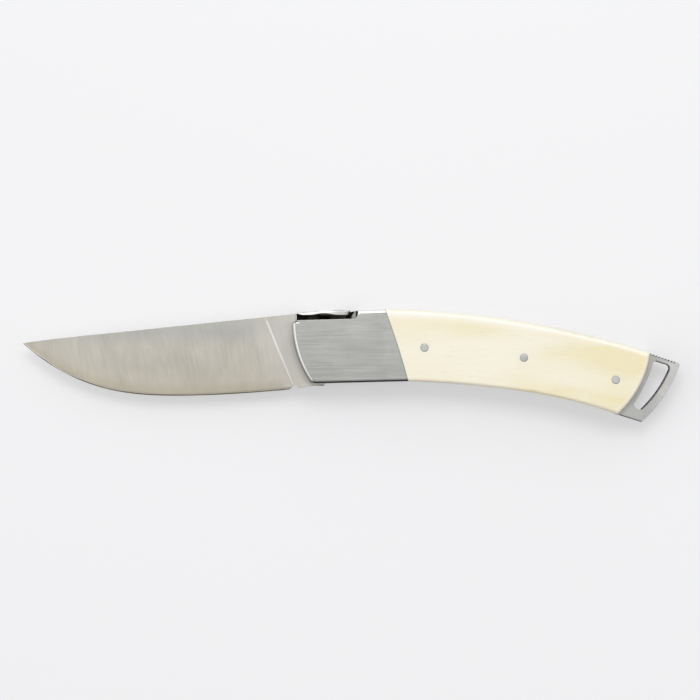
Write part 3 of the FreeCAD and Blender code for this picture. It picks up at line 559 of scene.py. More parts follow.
# %% Bolster finish
BUFFED_HIGHLIGHT_TILT, BUFFED_POLISH = ((0.08, 0.3), (0.87, 0.985, 1.0, 0.0)), -0.12
BROW_HEIGHT, BROW_REACH, BROW_SHADE_TONE = (10.9, 11.6), (-8.0, 0.0, 1.0, 0.0), rgb(0.18, 0.18, 0.175)
FRONT_REACH, FRONT_HIGHLIGHT_TONE, BUFFED_HIGHLIGHT_TONE = (-6.0, -3.0), rgb(0.6, 0.6, 0.59), rgb(0.85, 0.85, 0.84)
BELLY_SHADE_TILT, BELLY_SHADE_WAY, BELLY_SHADE_TONE = (0.2, 0.5), (-0.55, -0.3, 0.97, 0.0), rgb(0.028, 0.027, 0.026)
SEAM_WIDTH, SEAM_SHARE, SEAM_TONE = 0.16, 0.75, rgb(0.12, 0.12, 0.11)
bolster_steel, tree, place = satin_steel(
    "brushed_bolster_steel", rgb(0.535, 0.54, 0.507), rgb(0.472, 0.477, 0.447),
    turn=0.0, across=2600.0, along=80.0, roughness=0.34, grain=0.7)
reach, height = axes(place)[:2]
flat = flatness(tree)
buffed_and_highlit = ease(flat, *BUFFED_HIGHLIGHT_TILT)
brow_shade = times(ramp(height, BROW_HEIGHT), ramp(reach, BROW_REACH))
highlight_tone = mix(ramp(reach, FRONT_REACH), FRONT_HIGHLIGHT_TONE, BUFFED_HIGHLIGHT_TONE)
# Painted highlight on the buffed roundings, with painted shade on the brow.
paint(mix(brow_shade, highlight_tone, BROW_SHADE_TONE), buffed_and_highlit)
spine_wards = axes(surface_normal(tree))[1]
# Painted shade on the belly rounding, standing in for a dark reflection.
paint(BELLY_SHADE_TONE, ease(flat, BELLY_SHADE_TILT), ease(spine_wards, BELLY_SHADE_WAY))
seam = place_group(SEAM, place, {"Half Width": SEAM_WIDTH * MM})["Line"]
paint(SEAM_TONE, seam, SEAM_SHARE)
roughen(buffed_and_highlit, BUFFED_POLISH)
dress(bolster_steel, "left_bolster", "right_bolster")

# %% [markdown]
# ### The liners, the pins and the spring
#
# These are seen only from the spine, the belly or inside the folded handle. The liners are satin like the
# bolsters, with painted shade in the corner of the notch behind the thumb plate. The drawn pins are smoother,
# and the spring is tempered, which leaves steel darker.

# %% Finishes inside the handle
CORNER_REACH = (5.2, 6.4, 0.0, 0.95), (7.9, 8.0, 1.0, 0.0)
CORNER_HEIGHT, CORNER_SHADE_TONE = (12.2, 12.4), rgb(0.025, 0.024, 0.022)
liner_steel, _, place = satin_steel(
    "satin_liner_steel", rgb(0.62, 0.62, 0.6), rgb(0.5, 0.5, 0.49),
    turn=0.1, across=1500.0, along=60.0, roughness=0.33)
reach, height = axes(place)[:2]
# Painted shade in the corner of the notch.
paint(CORNER_SHADE_TONE, ramp(reach, *CORNER_REACH), ramp(height, CORNER_HEIGHT))
pin_steel = satin_steel("drawn_pin_steel", rgb(0.58, 0.58, 0.57), rgb(0.48, 0.48, 0.48),
                        turn=1.2, across=2600.0, along=220.0, roughness=0.3)[0]
spring_steel = satin_steel("tempered_spring_steel", rgb(0.4, 0.41, 0.43), rgb(0.28, 0.29, 0.31),
                           turn=0.0, across=1600.0, along=90.0, roughness=0.36)[0]
dress(liner_steel, "left_liner", "right_liner")
dress(pin_steel, "blade_pivot_pin", "lock_pivot_pin", "spring_block", "spring_block_pin", "spring_rivet",
      "left_bolster_upper_pin", "left_bolster_lower_pin",
      "right_bolster_upper_pin", "right_bolster_lower_pin")
dress(spring_steel, "lock_spring")

# %% [markdown]
# ### The lock bar
#
# The lock bar's spine is filed into a weaving ridge between deep pockets, and the pockets get painted shade,
# browned like old oil. The spine is an arc, so how deep a point lies below that arc tells ridge from pocket.
# The painted shade goes on later, with that of the other dark places.

# %% Lock bar and its filed spine
SPINE_ARC = (16.3, 15.4), (56.95, 11.825), (97.6, 2.05)
POCKET_DEPTH = (0.25, 1.1), (1.9, 2.3, 1.0, 0.0)
FILED_REACH = (10.2, 10.4), (91.4, 91.6, 1.0, 0.0)
bar_steel, tree, place = satin_steel(
    "filed_bar_steel", rgb(0.6, 0.6, 0.575), rgb(0.5, 0.5, 0.48),
    turn=0.5, across=1300.0, along=420.0, roughness=0.35, grain=0.35)
reach, height = axes(place)[:2]
depth = depth_inside(place, SPINE_ARC)
filed = times(ramp(depth, *POCKET_DEPTH), ramp(reach, *FILED_REACH))
print("spine radius in mm:", round(circle_through(*SPINE_ARC)[1], 1))

# %% [markdown]
# In front the bar ends in the thumb plate, whose narrow side gets a painted highlight. Below the plate the
# bar gets painted shade, which also stands in for the dark reflection on the plate's lower edge. The border
# between them rises where the leaf-shaped plate is widest and at its tip, so the height is lowered there
# before it is compared.

# %% Thumb plate's side with painted highlight, painted shade below it
WIDEST, WIDEST_BULGE, TIP_BULGE = -2.4, (0.0, 4.4, 0.5 * MM, 0.0), (-10.9, -8.8, 0.35 * MM, 0.0)
SHELTER_END, SHELTER_TOP = (5.8, 6.5, 1.0, 0.0), (13.6, 13.9, 1.0, 0.0)
SIDE_END, SIDE_FOOT, PLATE_SIDE_HIGHLIGHT_TONE = (4.6, 5.6, 1.0, 0.0), (13.75, 13.95, 0.0, 0.85), rgb(0.97, 0.97, 0.955)
OFF_TOP, TIP_END = (0.45, 0.75, 1.0, 0.0), (-10.8, -10.3, 0.9, 0.0)
from_widest = reckon("ABSOLUTE", reckon("SUBTRACT", reach, WIDEST * MM))
lowered = reckon("SUBTRACT", height, ramp(from_widest, WIDEST_BULGE))
lowered = reckon("SUBTRACT", lowered, ramp(reach, TIP_BULGE))
# Painted shade below the plate, also standing in for the dark reflection on its lower edge.
shade_below_plate = times(ramp(reach, SHELTER_END), ramp(lowered, SHELTER_TOP))
not_on_top = ease(axes(surface_normal(tree))[1], OFF_TOP)
# Painted shade on the bar's front tip.
tip_shade = times(ramp(reach, TIP_END), not_on_top)
# Painted highlight on the plate's narrow side.
paint(PLATE_SIDE_HIGHLIGHT_TONE, ramp(reach, SIDE_END), ramp(lowered, SIDE_FOOT), not_on_top)
print("side of the plate from mm:", SIDE_FOOT[0])

# %% [markdown]
# Behind the plate the bar dips into a nick. Painted shade marks it on the flank as a slanted black line, the
# neck, beside a grey hollow of painted shade and one more painted dark corner. A line through two points
# places the neck.

# %% Painted shade at the neck and hollow behind the plate
NECK_LOW, NECK_HIGH = (5.3, 13.4), (6.35, 15.2)
NECK_WIDTH, NECK_END = (0.5, 0.85, 1.0, 0.0), (7.0, 7.6, 1.0, 0.0)
NICK_REACH, NICK_HEIGHT = ((7.2, 7.6), (7.9, 8.1, 0.9, 0.0)), (13.0, 13.6)
HOLLOW_REACH, HOLLOW_HEIGHT = ((5.9, 6.3, 0.0, 0.75), (7.4, 7.8, 1.0, 0.0)), (12.2, 12.8)
HOLLOW_SHADE_TONE, BAR_FLANK = rgb(0.27, 0.265, 0.26), (0.5, 0.8)
flank = ease(flatness(tree), BAR_FLANK)
aside = reckon("ABSOLUTE", left_of(place, NECK_LOW, NECK_HIGH))
neck_line = times(ramp(aside, NECK_WIDTH), ramp(reach, NECK_END))
nick = times(ramp(reach, *NICK_REACH), ramp(height, NICK_HEIGHT))
# The neck and the corner get their painted shade later, with the other dark places.
neck = times(flank, highest(neck_line, nick))
# Painted shade in the grey hollow behind the plate.
paint(HOLLOW_SHADE_TONE, ramp(reach, *HOLLOW_REACH), ramp(height, HOLLOW_HEIGHT), flank)
print("neck line in mm:", round(math.dist(NECK_LOW, NECK_HIGH), 2))

# %% [markdown]
# Now painted shade, browned like old oil, goes on wherever the bar is filed, below the plate, at its front
# tip and at the neck. A film of oil is never even, so a noise mixes two dark browns, and the neck is nearly
# black. Behind the handle the lever grows paler towards its end.

# %% Painted shade and oil on the lock bar
FILM_CONTRAST, SHADE_OIL_DEEP, SHADE_OIL_THIN = (0.42, 0.68), rgb(0.014, 0.013, 0.012), rgb(0.085, 0.072, 0.058)
NECK_SHADE_TONE, OILY_ROUGHNESS = rgb(0.005, 0.005, 0.005), 0.3
LEVER_REACH, LEVER_TONE = (97.0, 105.0, 0.0, 0.7), rgb(0.76, 0.745, 0.72)
oil_and_shade = highest(filed, tip_shade, shade_below_plate, neck)
film = ease(noise(place, scale=330.0, detail=2.0), FILM_CONTRAST)
# Painted shade, browned like old oil, in the pockets, below the plate, at the tip and the neck.
paint(mix(film, SHADE_OIL_DEEP, SHADE_OIL_THIN), oil_and_shade)
# The neck's painted shade is nearly black.
paint(NECK_SHADE_TONE, neck)
paint(LEVER_TONE, ramp(reach, LEVER_REACH))
roughen(oil_and_shade, OILY_ROUGHNESS)
dress(bar_steel, "lock_bar")

# %% [markdown]
# The lever has a slot. Its walls and those that face the belly get dark brown painted shade. A bent normal
# tells which way a wall faces and lets the shade creep a little round the corner. The bump already holds one,
# and the slot takes one with a wider reach.

# %% Painted shade on the lever's walls
SLOT_TOP, SLOT_BOTTOM, SLOT_WIDTH = (101.2, -1.0), (94.06, -14.6), (3.7, 4.0, 1.0, 0.0)
SLOT_CREEP, SLOT_WAY, SLOT_TURN = 0.85, (-0.95, -0.3, 0.0), (0.07, 0.2)
BELLY_WAY, BELLY_TURN = (-0.6, -0.8, 0.0), (0.3, 0.6)
SHADED_WALL_REACH, SHADED_WALL_HEIGHT = (86.0, 88.0), (-0.4, 0.0, 1.0, 0.0)
WALL_SHADE_TONE, SHADED_WALL_ROUGHNESS = rgb(0.022, 0.014, 0.011), 0.45
bent = tree.nodes["Bump"].inputs["Normal"].links[0].from_socket
wide_bent = place_group(EDGES, place, {"Radius": SLOT_CREEP * MM})["Normal"]
aside = reckon("ABSOLUTE", left_of(place, SLOT_TOP, SLOT_BOTTOM))
in_slot = times(ease(toward(wide_bent, SLOT_WAY), SLOT_TURN), ramp(aside, SLOT_WIDTH))
shaded_walls = highest(in_slot, ease(toward(bent, BELLY_WAY), BELLY_TURN))
shaded_walls = times(shaded_walls, ramp(reach, SHADED_WALL_REACH), ramp(height, SHADED_WALL_HEIGHT))
# Dark brown painted shade on the slot's walls and those facing the belly.
paint(WALL_SHADE_TONE, shaded_walls)
roughen(shaded_walls, SHADED_WALL_ROUGHNESS)
print("slot line in mm:", round(math.dist(SLOT_TOP, SLOT_BOTTOM), 1))

# %% [markdown]
# The thumb grooves on the lever's upper edge get painted shade too. They are evenly spaced along a slanted
# line, so a ping-pong of the distance along it finds the nearest one, and the distance below it keeps them
# short.

# %% Thumb grooves of the lever
GROOVE_START, GROOVE_END = (97.6, 2.05), (106.2, -0.85)
GROOVE_FIRST, GROOVE_PITCH, GROOVE_COUNT = 0.3, 1.0, 9
GROOVE_WIDTH, GROOVE_DEPTH = (0.29, 0.37, 1.0, 0.0), (0.45, 0.6, 1.0, 0.0)
ROW_END = GROOVE_PITCH * (GROOVE_COUNT - 0.5)
ROW_LIMITS = [(-0.45, -0.4), (ROW_END, ROW_END + 0.05, 1.0, 0.0)]
GROOVE_SHARE, GROOVE_SHADE_TONE = 0.95, rgb(0.025, 0.02, 0.018)
ahead = direction(GROOVE_START, GROOVE_END)
first = ahead.dot(Vector((*GROOVE_START, 0.0))) + GROOVE_FIRST
along = reckon("SUBTRACT", toward(place, ahead), first * MM)
below = left_of(place, GROOVE_END, GROOVE_START)
nearest = reckon("PINGPONG", along, GROOVE_PITCH / 2 * MM)
groove = times(ramp(nearest, GROOVE_WIDTH), ramp(below, GROOVE_DEPTH), ramp(along, *ROW_LIMITS))
# Painted shade in the thumb grooves.
paint(GROOVE_SHADE_TONE, groove, GROOVE_SHARE)
print("grooves:", GROOVE_COUNT, "over", round(ROW_END, 1), "mm")

# %% [markdown]
# ## Bone
#
# Polished bone is warm white with drifting yellow patches. It has no single colour, so a wide, slanted noise
# mixes two, and ramps say where the yellow is strong: towards the tail, below the spine and above the rear
# belly.

# %% Bone and its yellow patches
BONE_WHITE, BONE_YELLOW, PATCH_CONTRAST = rgb(0.885, 0.84, 0.7), rgb(0.835, 0.755, 0.5), (0.3, 0.7)
PATCH_TURN, PATCH_SCALE = 0.16, (26.0, 95.0, 60.0)
YELLOW_REAR = (70.0, 96.0, 0.25, 0.85)
YELLOW_UPPER, UPPER_REACH = (5.0, 12.0, 0.6, 0.0), (24.0, 42.0, 0.3, 1.0)
YELLOW_LOWER, LOWER_REACH = (14.5, 18.0, 0.0, 0.7), (48.0, 62.0)
bone, tree, place = start_finish("polished_bone", metallic=0.0, roughness=0.3)
reach = axes(place)[0]
below_spine = depth_inside(place, SPINE_ARC)
patches = noise(stretch(place, PATCH_TURN, PATCH_SCALE), scale=1.0, detail=2.0, Roughness=0.45)
upper = times(ramp(below_spine, YELLOW_UPPER), ramp(reach, UPPER_REACH))
lower = times(ramp(below_spine, YELLOW_LOWER), ramp(reach, LOWER_REACH))
share = reckon("ADD", ramp(reach, YELLOW_REAR), reckon("ADD", upper, lower))
yellow = times(ease(patches, PATCH_CONTRAST), share)
connect("Base Color", mix(yellow, BONE_WHITE, BONE_YELLOW))
print("finish:", bone.name)

# %% [markdown]
# Bone also has a faint lengthwise grain and here and there a short pore line. Both are noises stretched
# along the handle, and the pores are the rare high values of a fine one.

# %% Grain and pores
GRAIN_TURN, GRAIN_SCALE, GRAIN_CONTRAST, GRAIN_SHARE = 0.13, (70.0, 1300.0, 700.0), (0.42, 0.72), 0.16
PORE_SCALE, PORE_CONTRAST, PORE_SHARE = (260.0, 3000.0, 900.0), (0.68, 0.76), 0.28
GRAIN_TONE, PORE_TONE = rgb(0.8, 0.72, 0.53), rgb(0.62, 0.52, 0.34)
grain = noise(stretch(place, GRAIN_TURN, GRAIN_SCALE), scale=1.0, detail=3.0)
pore = ease(noise(stretch(place, GRAIN_TURN, PORE_SCALE), scale=1.0, detail=1.0), PORE_CONTRAST)
paint(GRAIN_TONE, ease(grain, GRAIN_CONTRAST), GRAIN_SHARE)
paint(PORE_TONE, pore, PORE_SHARE)
print("grain and pores on", bone.name)

# %% [markdown]
# Painted light pales the bone along its borders, where a rounding would catch it. A pale band follows the
# spine and narrows towards the tail, and a pale rim follows the arc at the tail. The rounding that faces the
# spine is a little deeper, because most light falls on it.

# %% Painted light in a pale band and rim
NARROWING, BAND_DEPTH, BAND_TILT = (50.0, 85.0, 1.0, 1.7), (0.3, 3.8, 0.85, 0.0), (0.0, 0.7, 0.45, 1.0)
TAIL_ARC = (97.6, 2.05), (94.32, -8.22), (87.7, -16.7)
RIM_WIDTH, RIM_TILT, RIM_REACH = (0.5, 1.5, 0.85, 0.0), (0.1, 0.5), (80.0, 84.0)
LIT_WAY, LIT_TILT = (0.1, 0.5), (0.1, 0.4)
BONE_BAND_LIGHT_TONE, TAIL_RIM_LIGHT_TONE, LIT_TONE = rgb(0.95, 0.93, 0.88), rgb(0.99, 0.92, 0.8), rgb(0.83, 0.775, 0.63)
flat = flatness(tree)
narrowed = times(below_spine, ramp(reach, NARROWING))
# Painted light in a pale band along the spine.
paint(BONE_BAND_LIGHT_TONE, ramp(narrowed, BAND_DEPTH), ease(flat, BAND_TILT))
from_tail = reckon("ABSOLUTE", depth_inside(place, TAIL_ARC))
# Painted light in a pale rim along the tail.
paint(TAIL_RIM_LIGHT_TONE, ramp(from_tail, RIM_WIDTH), ease(flat, RIM_TILT), ramp(reach, RIM_REACH))
spine_wards = axes(surface_normal(tree))[1]
paint(LIT_TONE, ease(spine_wards, LIT_WAY), ease(flat, LIT_TILT))
print("tail radius in mm:", round(circle_through(*TAIL_ARC)[1], 1))

# %% [markdown]
# Each rivet has a thin dark ring where it was ground flush, and steel dust has greyed the bone a little
# round it. The seam's line comes from the shared group, finer than on the steel.

# %% Round the rivets and along the seam
RIVETS = {"front": (28.4, 3.6), "middle": (58.9, 0.5), "rear": (87.05, -6.3)}
DUST_WIDTH, DUST_TONE = (1.2, 3.2, 0.12, 0.0), rgb(0.74, 0.72, 0.66)
RING_WIDTH, RING_TONE = (1.14, 1.36, 0.75, 0.0), rgb(0.32, 0.31, 0.29)
BONE_SEAM_WIDTH, BONE_SEAM_SHARE, BONE_SEAM_TONE = 0.12, 0.5, rgb(0.3, 0.27, 0.2)
for spot in RIVETS.values():
    away = distance_from(place, spot)
    paint(DUST_TONE, ramp(away, DUST_WIDTH))
    paint(RING_TONE, ramp(away, RING_WIDTH))
seam = place_group(SEAM, place, {"Half Width": BONE_SEAM_WIDTH * MM})["Line"]
paint(BONE_SEAM_TONE, seam, BONE_SEAM_SHARE)
print("rivet rings:", len(RIVETS))

# %% [markdown]
# A clear coat gives the buffed gloss, and a little light passes under the surface, which keeps the shaded
# side warm. Pores and smudges are duller, and grain and pores make a very shallow bump.

# %% Gloss of the bone
SMUDGE_DULLNESS, BONE_ROUGHNESS, PORE_DULLNESS, GRAIN_HEIGHT = 0.05, 0.295, 0.2, 0.4
BONE_ROUNDING = 0.8
GLOSS = {"Coat Weight": 0.35, "Coat Roughness": 0.12, "Subsurface Weight": 0.12, "Subsurface Scale": 1.2 * MM,
         "Subsurface Radius": (1.0, 0.75, 0.45)}
smudge = place_group(MARKS, place)["Smudge"]
bent = place_group(EDGES, place, {"Radius": BONE_ROUNDING * MM})["Normal"]
relief = reckon("MULTIPLY_ADD", pore, -1.0, times(grain, GRAIN_HEIGHT))
bump = put(tree, "ShaderNodeBump", {"Height": relief, "Strength": 0.15, "Distance": 0.02 * MM,
                                    "Normal": bent}).outputs[0]
connect("Normal", bump)
connect("Roughness", reckon("MULTIPLY_ADD", smudge, SMUDGE_DULLNESS, BONE_ROUGHNESS))
roughen(pore, PORE_DULLNESS)
for name, amount in GLOSS.items():
    shader_of(place).inputs[name].default_value = amount
dress(bone, "left_scale", "right_scale")

# %% [markdown]
# ## Modelling by hand
#
# Operators act on whatever is selected, and the loaded pieces arrive selected, so each new piece starts by
# clearing the selection. In the end its place goes into its mesh, and it is shaded smooth except at sharp
# edges.

# %% Helpers that start and end a piece
SMOOTH_BELOW = math.radians(35)


def fresh_start(piece=None):
    """Leave edit mode with only the given piece selected, or nothing."""
    if bpy.context.mode != "OBJECT":
        bpy.ops.object.mode_set(mode="OBJECT")
    bpy.ops.object.select_all(action="DESELECT")
    if piece:
        piece.select_set(True)
        bpy.context.view_layer.objects.active = piece


def settle():
    """Leave edit mode and put the active piece's place into its mesh."""
    bpy.ops.object.mode_set(mode="OBJECT")
    bpy.ops.object.transform_apply(location=True, rotation=True, scale=True)
    bpy.ops.object.shade_smooth_by_angle(angle=SMOOTH_BELOW)


print("modelling helpers ready")

# %% [markdown]
# Between the two, edges and faces are picked by the level that they lie at. Selecting starts in face mode.

# %% Helper that picks by level
TOUCH = 1e-7
bpy.context.tool_settings.mesh_select_mode = (False, False, True)


def pick_level(piece, kind, axis, level):
    """In edit mode, select only the edges or faces at one level of an axis, in mm."""
    bpy.ops.object.mode_set(mode="OBJECT")
    mesh = piece.data
    for part in (*mesh.vertices, *mesh.edges, *mesh.polygons):
        part.select = False
    on_level = [abs(getattr(point.co, axis) - level * MM) < TOUCH for point in mesh.vertices]
    for part in mesh.edges if kind == "EDGE" else mesh.polygons:
        part.select = all(on_level[number] for number in part.vertices)
    bpy.ops.object.mode_set(mode="EDIT")
    bpy.ops.mesh.select_mode(type=kind)


print("picking helper ready")

# %% [markdown]
# ### Rivets
#
# Each scale is held by rivets that were hammered over and ground flush. Their steel is ground finely in no
# marked direction, and it is a little brighter than the pins inside.

# %% Rivet finish
rivet_steel = satin_steel("ground_rivet_steel", rgb(0.63, 0.63, 0.615), rgb(0.52, 0.52, 0.505),
                          turn=0.3, across=2400.0, along=300.0, roughness=0.38)[0]
print("finish:", rivet_steel.name)

# %% [markdown]
# Grinding leaves a rivet's face flat, but its rim stays faintly rounded, and that rim makes a rivet readable
# against the bone. One rivet is a cylinder whose outer rim is bevelled, its face inset once so that the
# shading stays flat in the middle. The front and middle rivets end in the liners, and the rear one goes
# right through.

# %% Model the rivets
RIVET_RADIUS, RIVET_SIDES = 1.125, 56
RIM_ROUNDING, FACE_INSET = 0.13, 0.18
THICKNESS = cad_high.z / MM


def model_rivet(name, low, high, ends):
    """A pin from low to high, in mm, with a rounded rim at each end that shows."""
    fresh_start()
    bpy.ops.mesh.primitive_cylinder_add(
        vertices=RIVET_SIDES, radius=RIVET_RADIUS * MM, depth=(high - low) * MM,
        location=(0.0, 0.0, (low + high) / 2 * MM))
    piece = bpy.context.object
    piece.name = name
    bpy.ops.object.transform_apply(location=True)
    for level in ends:
        pick_level(piece, "EDGE", "z", level)
        bpy.ops.mesh.bevel(offset=RIM_ROUNDING * MM, segments=3, affect="EDGES")
        pick_level(piece, "FACE", "z", level)
        bpy.ops.mesh.inset(thickness=FACE_INSET * MM)
    settle()
    piece.data.materials.append(rivet_steel)
    return piece


left_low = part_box("left_front_rivet")[0].z / MM
right_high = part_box("right_front_rivet")[1].z / MM
upper_rivet = model_rivet("left_front_rivet_head", left_low, THICKNESS, [THICKNESS])
lower_rivet = model_rivet("right_front_rivet_head", 0.0, right_high, [0.0])
through_rivet = model_rivet("rear_rivet_ends", 0.0, THICKNESS, [THICKNESS, 0.0])
print("rivet faces:", [len(piece.data.polygons) for piece in (upper_rivet, lower_rivet, through_rivet)])

# %% [markdown]
# The middle rivets are copies with meshes of their own. Every rivet is then moved to its hole, with the move
# put into its mesh, and takes the place of the plain pin that was there.

# %% Set the rivets in their holes
def copy_of(piece, name):
    fresh_start(piece)
    bpy.ops.object.duplicate(linked=False)
    twin = bpy.context.object
    twin.name = name
    return twin


def set_rivet(piece, spot, node):
    fresh_start(piece)
    piece.location = (spot[0] * MM, spot[1] * MM, 0.0)
    bpy.ops.object.transform_apply(location=True)
    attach(piece, "handle")
    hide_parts(node)


upper_twin = copy_of(upper_rivet, "left_middle_rivet_head")
lower_twin = copy_of(lower_rivet, "right_middle_rivet_head")
set_rivet(upper_rivet, RIVETS["front"], "left_front_rivet")
set_rivet(lower_rivet, RIVETS["front"], "right_front_rivet")
set_rivet(upper_twin, RIVETS["middle"], "left_middle_rivet")
set_rivet(lower_twin, RIVETS["middle"], "right_middle_rivet")
set_rivet(through_rivet, RIVETS["rear"], "rear_rivet")
print("rivets set:", len(RIVETS) * 2 - 1)

# %% [markdown]
# ### Thumb plate
#
# The lock bar ends in a leaf-shaped plate for the thumb. A plain plate would be slippery, so it carries an
# oval frame with a row of chevrons, a common grip pattern. It could be a bump in the shader, but from the
# spine side a raised rim catches light as only a real edge does. Both pieces are modelled flat at the
# origin, and this helper then lays them on the plate.

# %% Where the plate lies
PLATE_CENTRE = (-2.8, 14.81, 5.7)
PLATE_SLOPE = math.atan2(1.0, 18.55)
PLATE_HALF_LENGTH, PLATE_HALF_WIDTH, OVAL_SIDES = 6.5, 3.85, 80


def lay_on_plate(piece):
    """Lay a piece that was modelled flat on the thumb plate, facing the spine side."""
    fresh_start(piece)
    piece.rotation_euler = (math.radians(-90), 0.0, 0.0)
    bpy.ops.object.transform_apply(rotation=True)
    piece.rotation_euler = (0.0, 0.0, PLATE_SLOPE)
    piece.location = [side * MM for side in PLATE_CENTRE]
    settle()
    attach(piece, "lock_bar")
    print(piece.name, "faces:", len(piece.data.polygons))


print("plate slope in degrees:", round(math.degrees(PLATE_SLOPE), 2))

# %% [markdown]
# Two finishes meet on the plate: the raised metal is rubbed bright by the thumb, and the field between is
# darkened so that the pattern reads.

# %% Finishes for the thumb plate
bright_steel = satin_steel("rubbed_plate_steel", rgb(0.66, 0.66, 0.64), rgb(0.56, 0.56, 0.54),
                           turn=1.4, across=2200.0, along=300.0, roughness=0.27)[0]
dark_field = satin_steel("darkened_plate_steel", rgb(0.1, 0.1, 0.098), rgb(0.05, 0.05, 0.048),
                         turn=1.4, across=1800.0, along=400.0, roughness=0.5)[0]
print("finishes:", bright_steel.name, dark_field.name)

# %% [markdown]
# The frame is a filled circle, stretched to an oval, thickened and inset, with its middle pushed down. It
# starts a little below the plate's face, so that no gap can show under it. The rim's edges are bevelled, and
# the sunken middle takes the dark finish.

# %% Oval frame
FRAME_SUNK, FRAME_RISE, FRAME_RIM, FIELD_DROP, FRAME_ROUNDING = 0.25, 0.16, 0.42, 0.14, 0.07
FIELD_REACH = 0.9
fresh_start()
bpy.ops.mesh.primitive_circle_add(vertices=OVAL_SIDES, radius=MM, fill_type="NGON",
                                  location=(0.0, 0.0, -FRAME_SUNK * MM))
oval = bpy.context.object
oval.name = "thumb_plate_frame"
oval.scale = (PLATE_HALF_LENGTH, PLATE_HALF_WIDTH, 1.0)
bpy.ops.object.transform_apply(location=True, scale=True)
bpy.ops.object.mode_set(mode="EDIT")
bpy.ops.mesh.select_all(action="SELECT")
bpy.ops.mesh.extrude_region_move(TRANSFORM_OT_translate={"value": (0.0, 0.0, (FRAME_SUNK + FRAME_RISE) * MM)})
bpy.ops.mesh.inset(thickness=FRAME_RIM * MM)
bpy.ops.mesh.extrude_region_move(TRANSFORM_OT_translate={"value": (0.0, 0.0, -FIELD_DROP * MM)})
bpy.ops.mesh.select_all(action="SELECT")
bpy.ops.mesh.normals_make_consistent(inside=False)
pick_level(oval, "EDGE", "z", FRAME_RISE)
bpy.ops.mesh.bevel(offset=FRAME_ROUNDING * MM, segments=2, affect="EDGES")
bpy.ops.object.mode_set(mode="OBJECT")
oval.data.materials.append(bright_steel)
oval.data.materials.append(dark_field)
for face in oval.data.polygons:
    from_centre = math.hypot(face.center.x / PLATE_HALF_LENGTH, face.center.y / PLATE_HALF_WIDTH)
    sunken = abs(face.center.z - (FRAME_RISE - FIELD_DROP) * MM) < TOUCH
    face.material_index = int(sunken and from_centre < FIELD_REACH * MM)
lay_on_plate(oval)

# %% [markdown]
# One chevron is a flat bar, cut at its middle and pulled into a V. An Array repeats it along the plate, so
# closely that only thin dark grooves are left between the bars.

# %% Row of chevrons
CHEVRON_PITCH, CHEVRON_COUNT = 1.7, 7
CHEVRON_SIZE = (1.38, 2.2 * PLATE_HALF_WIDTH, 0.3)
fresh_start()
bpy.ops.mesh.primitive_cube_add(size=MM, location=(0.0, 0.0, 0.0))
chevrons = bpy.context.object
chevrons.name = "thumb_plate_chevrons"
chevrons.scale = CHEVRON_SIZE
bpy.ops.object.transform_apply(scale=True)
bpy.ops.object.mode_set(mode="EDIT")
bpy.ops.mesh.select_all(action="SELECT")
bpy.ops.mesh.bisect(plane_co=(0.0, 0.0, 0.0), plane_no=(0.0, 1.0, 0.0))
pick_level(chevrons, "EDGE", "y", 0.0)
bpy.ops.transform.translate(value=(-CHEVRON_PITCH * MM, 0.0, 0.0))
bpy.ops.object.mode_set(mode="OBJECT")
chevrons.location.x = (-CHEVRON_PITCH * (CHEVRON_COUNT - 1) / 2 + CHEVRON_PITCH) * MM
row = chevrons.modifiers.new("row", "ARRAY")
row.count = CHEVRON_COUNT
row.use_relative_offset = False
row.use_constant_offset = True
row.constant_offset_displace = (CHEVRON_PITCH * MM, 0.0, 0.0)
bpy.ops.object.modifier_apply(modifier="row")
bpy.ops.object.transform_apply(location=True)
print("chevrons:", CHEVRON_COUNT)

# %% [markdown]
# A Boolean trims the row to an oval a little smaller than the frame, so that every chevron ends at the same
# distance from it. A small bevel then takes off the sharp edges.

# %% Trim the row to the oval
TRIM_MARGIN, TRIM_DEPTH, CHEVRON_ROUNDING = 0.75, 4.0, 0.05
bpy.ops.object.select_all(action="DESELECT")
bpy.ops.mesh.primitive_cylinder_add(vertices=OVAL_SIDES, radius=MM, depth=TRIM_DEPTH * MM)
trimmer = bpy.context.object
trimmer.scale = (PLATE_HALF_LENGTH - TRIM_MARGIN, PLATE_HALF_WIDTH - TRIM_MARGIN, 1.0)
bpy.ops.object.transform_apply(scale=True)
trim = chevrons.modifiers.new("trim", "BOOLEAN")
trim.operation = "INTERSECT"
trim.object = trimmer
soften = chevrons.modifiers.new("soften", "BEVEL")
soften.width = CHEVRON_ROUNDING * MM
soften.segments = 2
bpy.context.view_layer.objects.active = chevrons
for step in ("trim", "soften"):
    bpy.ops.object.modifier_apply(modifier=step)
bpy.data.objects.remove(trimmer)
chevrons.data.materials.append(bright_steel)
lay_on_plate(chevrons)

# %% [markdown]
# ## The table, the light and the camera
#
# The knife lies on a seamless white sheet. The sheet keeps the soft shadow but must look nearly white, so
# part of its brightness is its own and is shown only to the camera, to reflections and through glass. It
# never lights the knife.

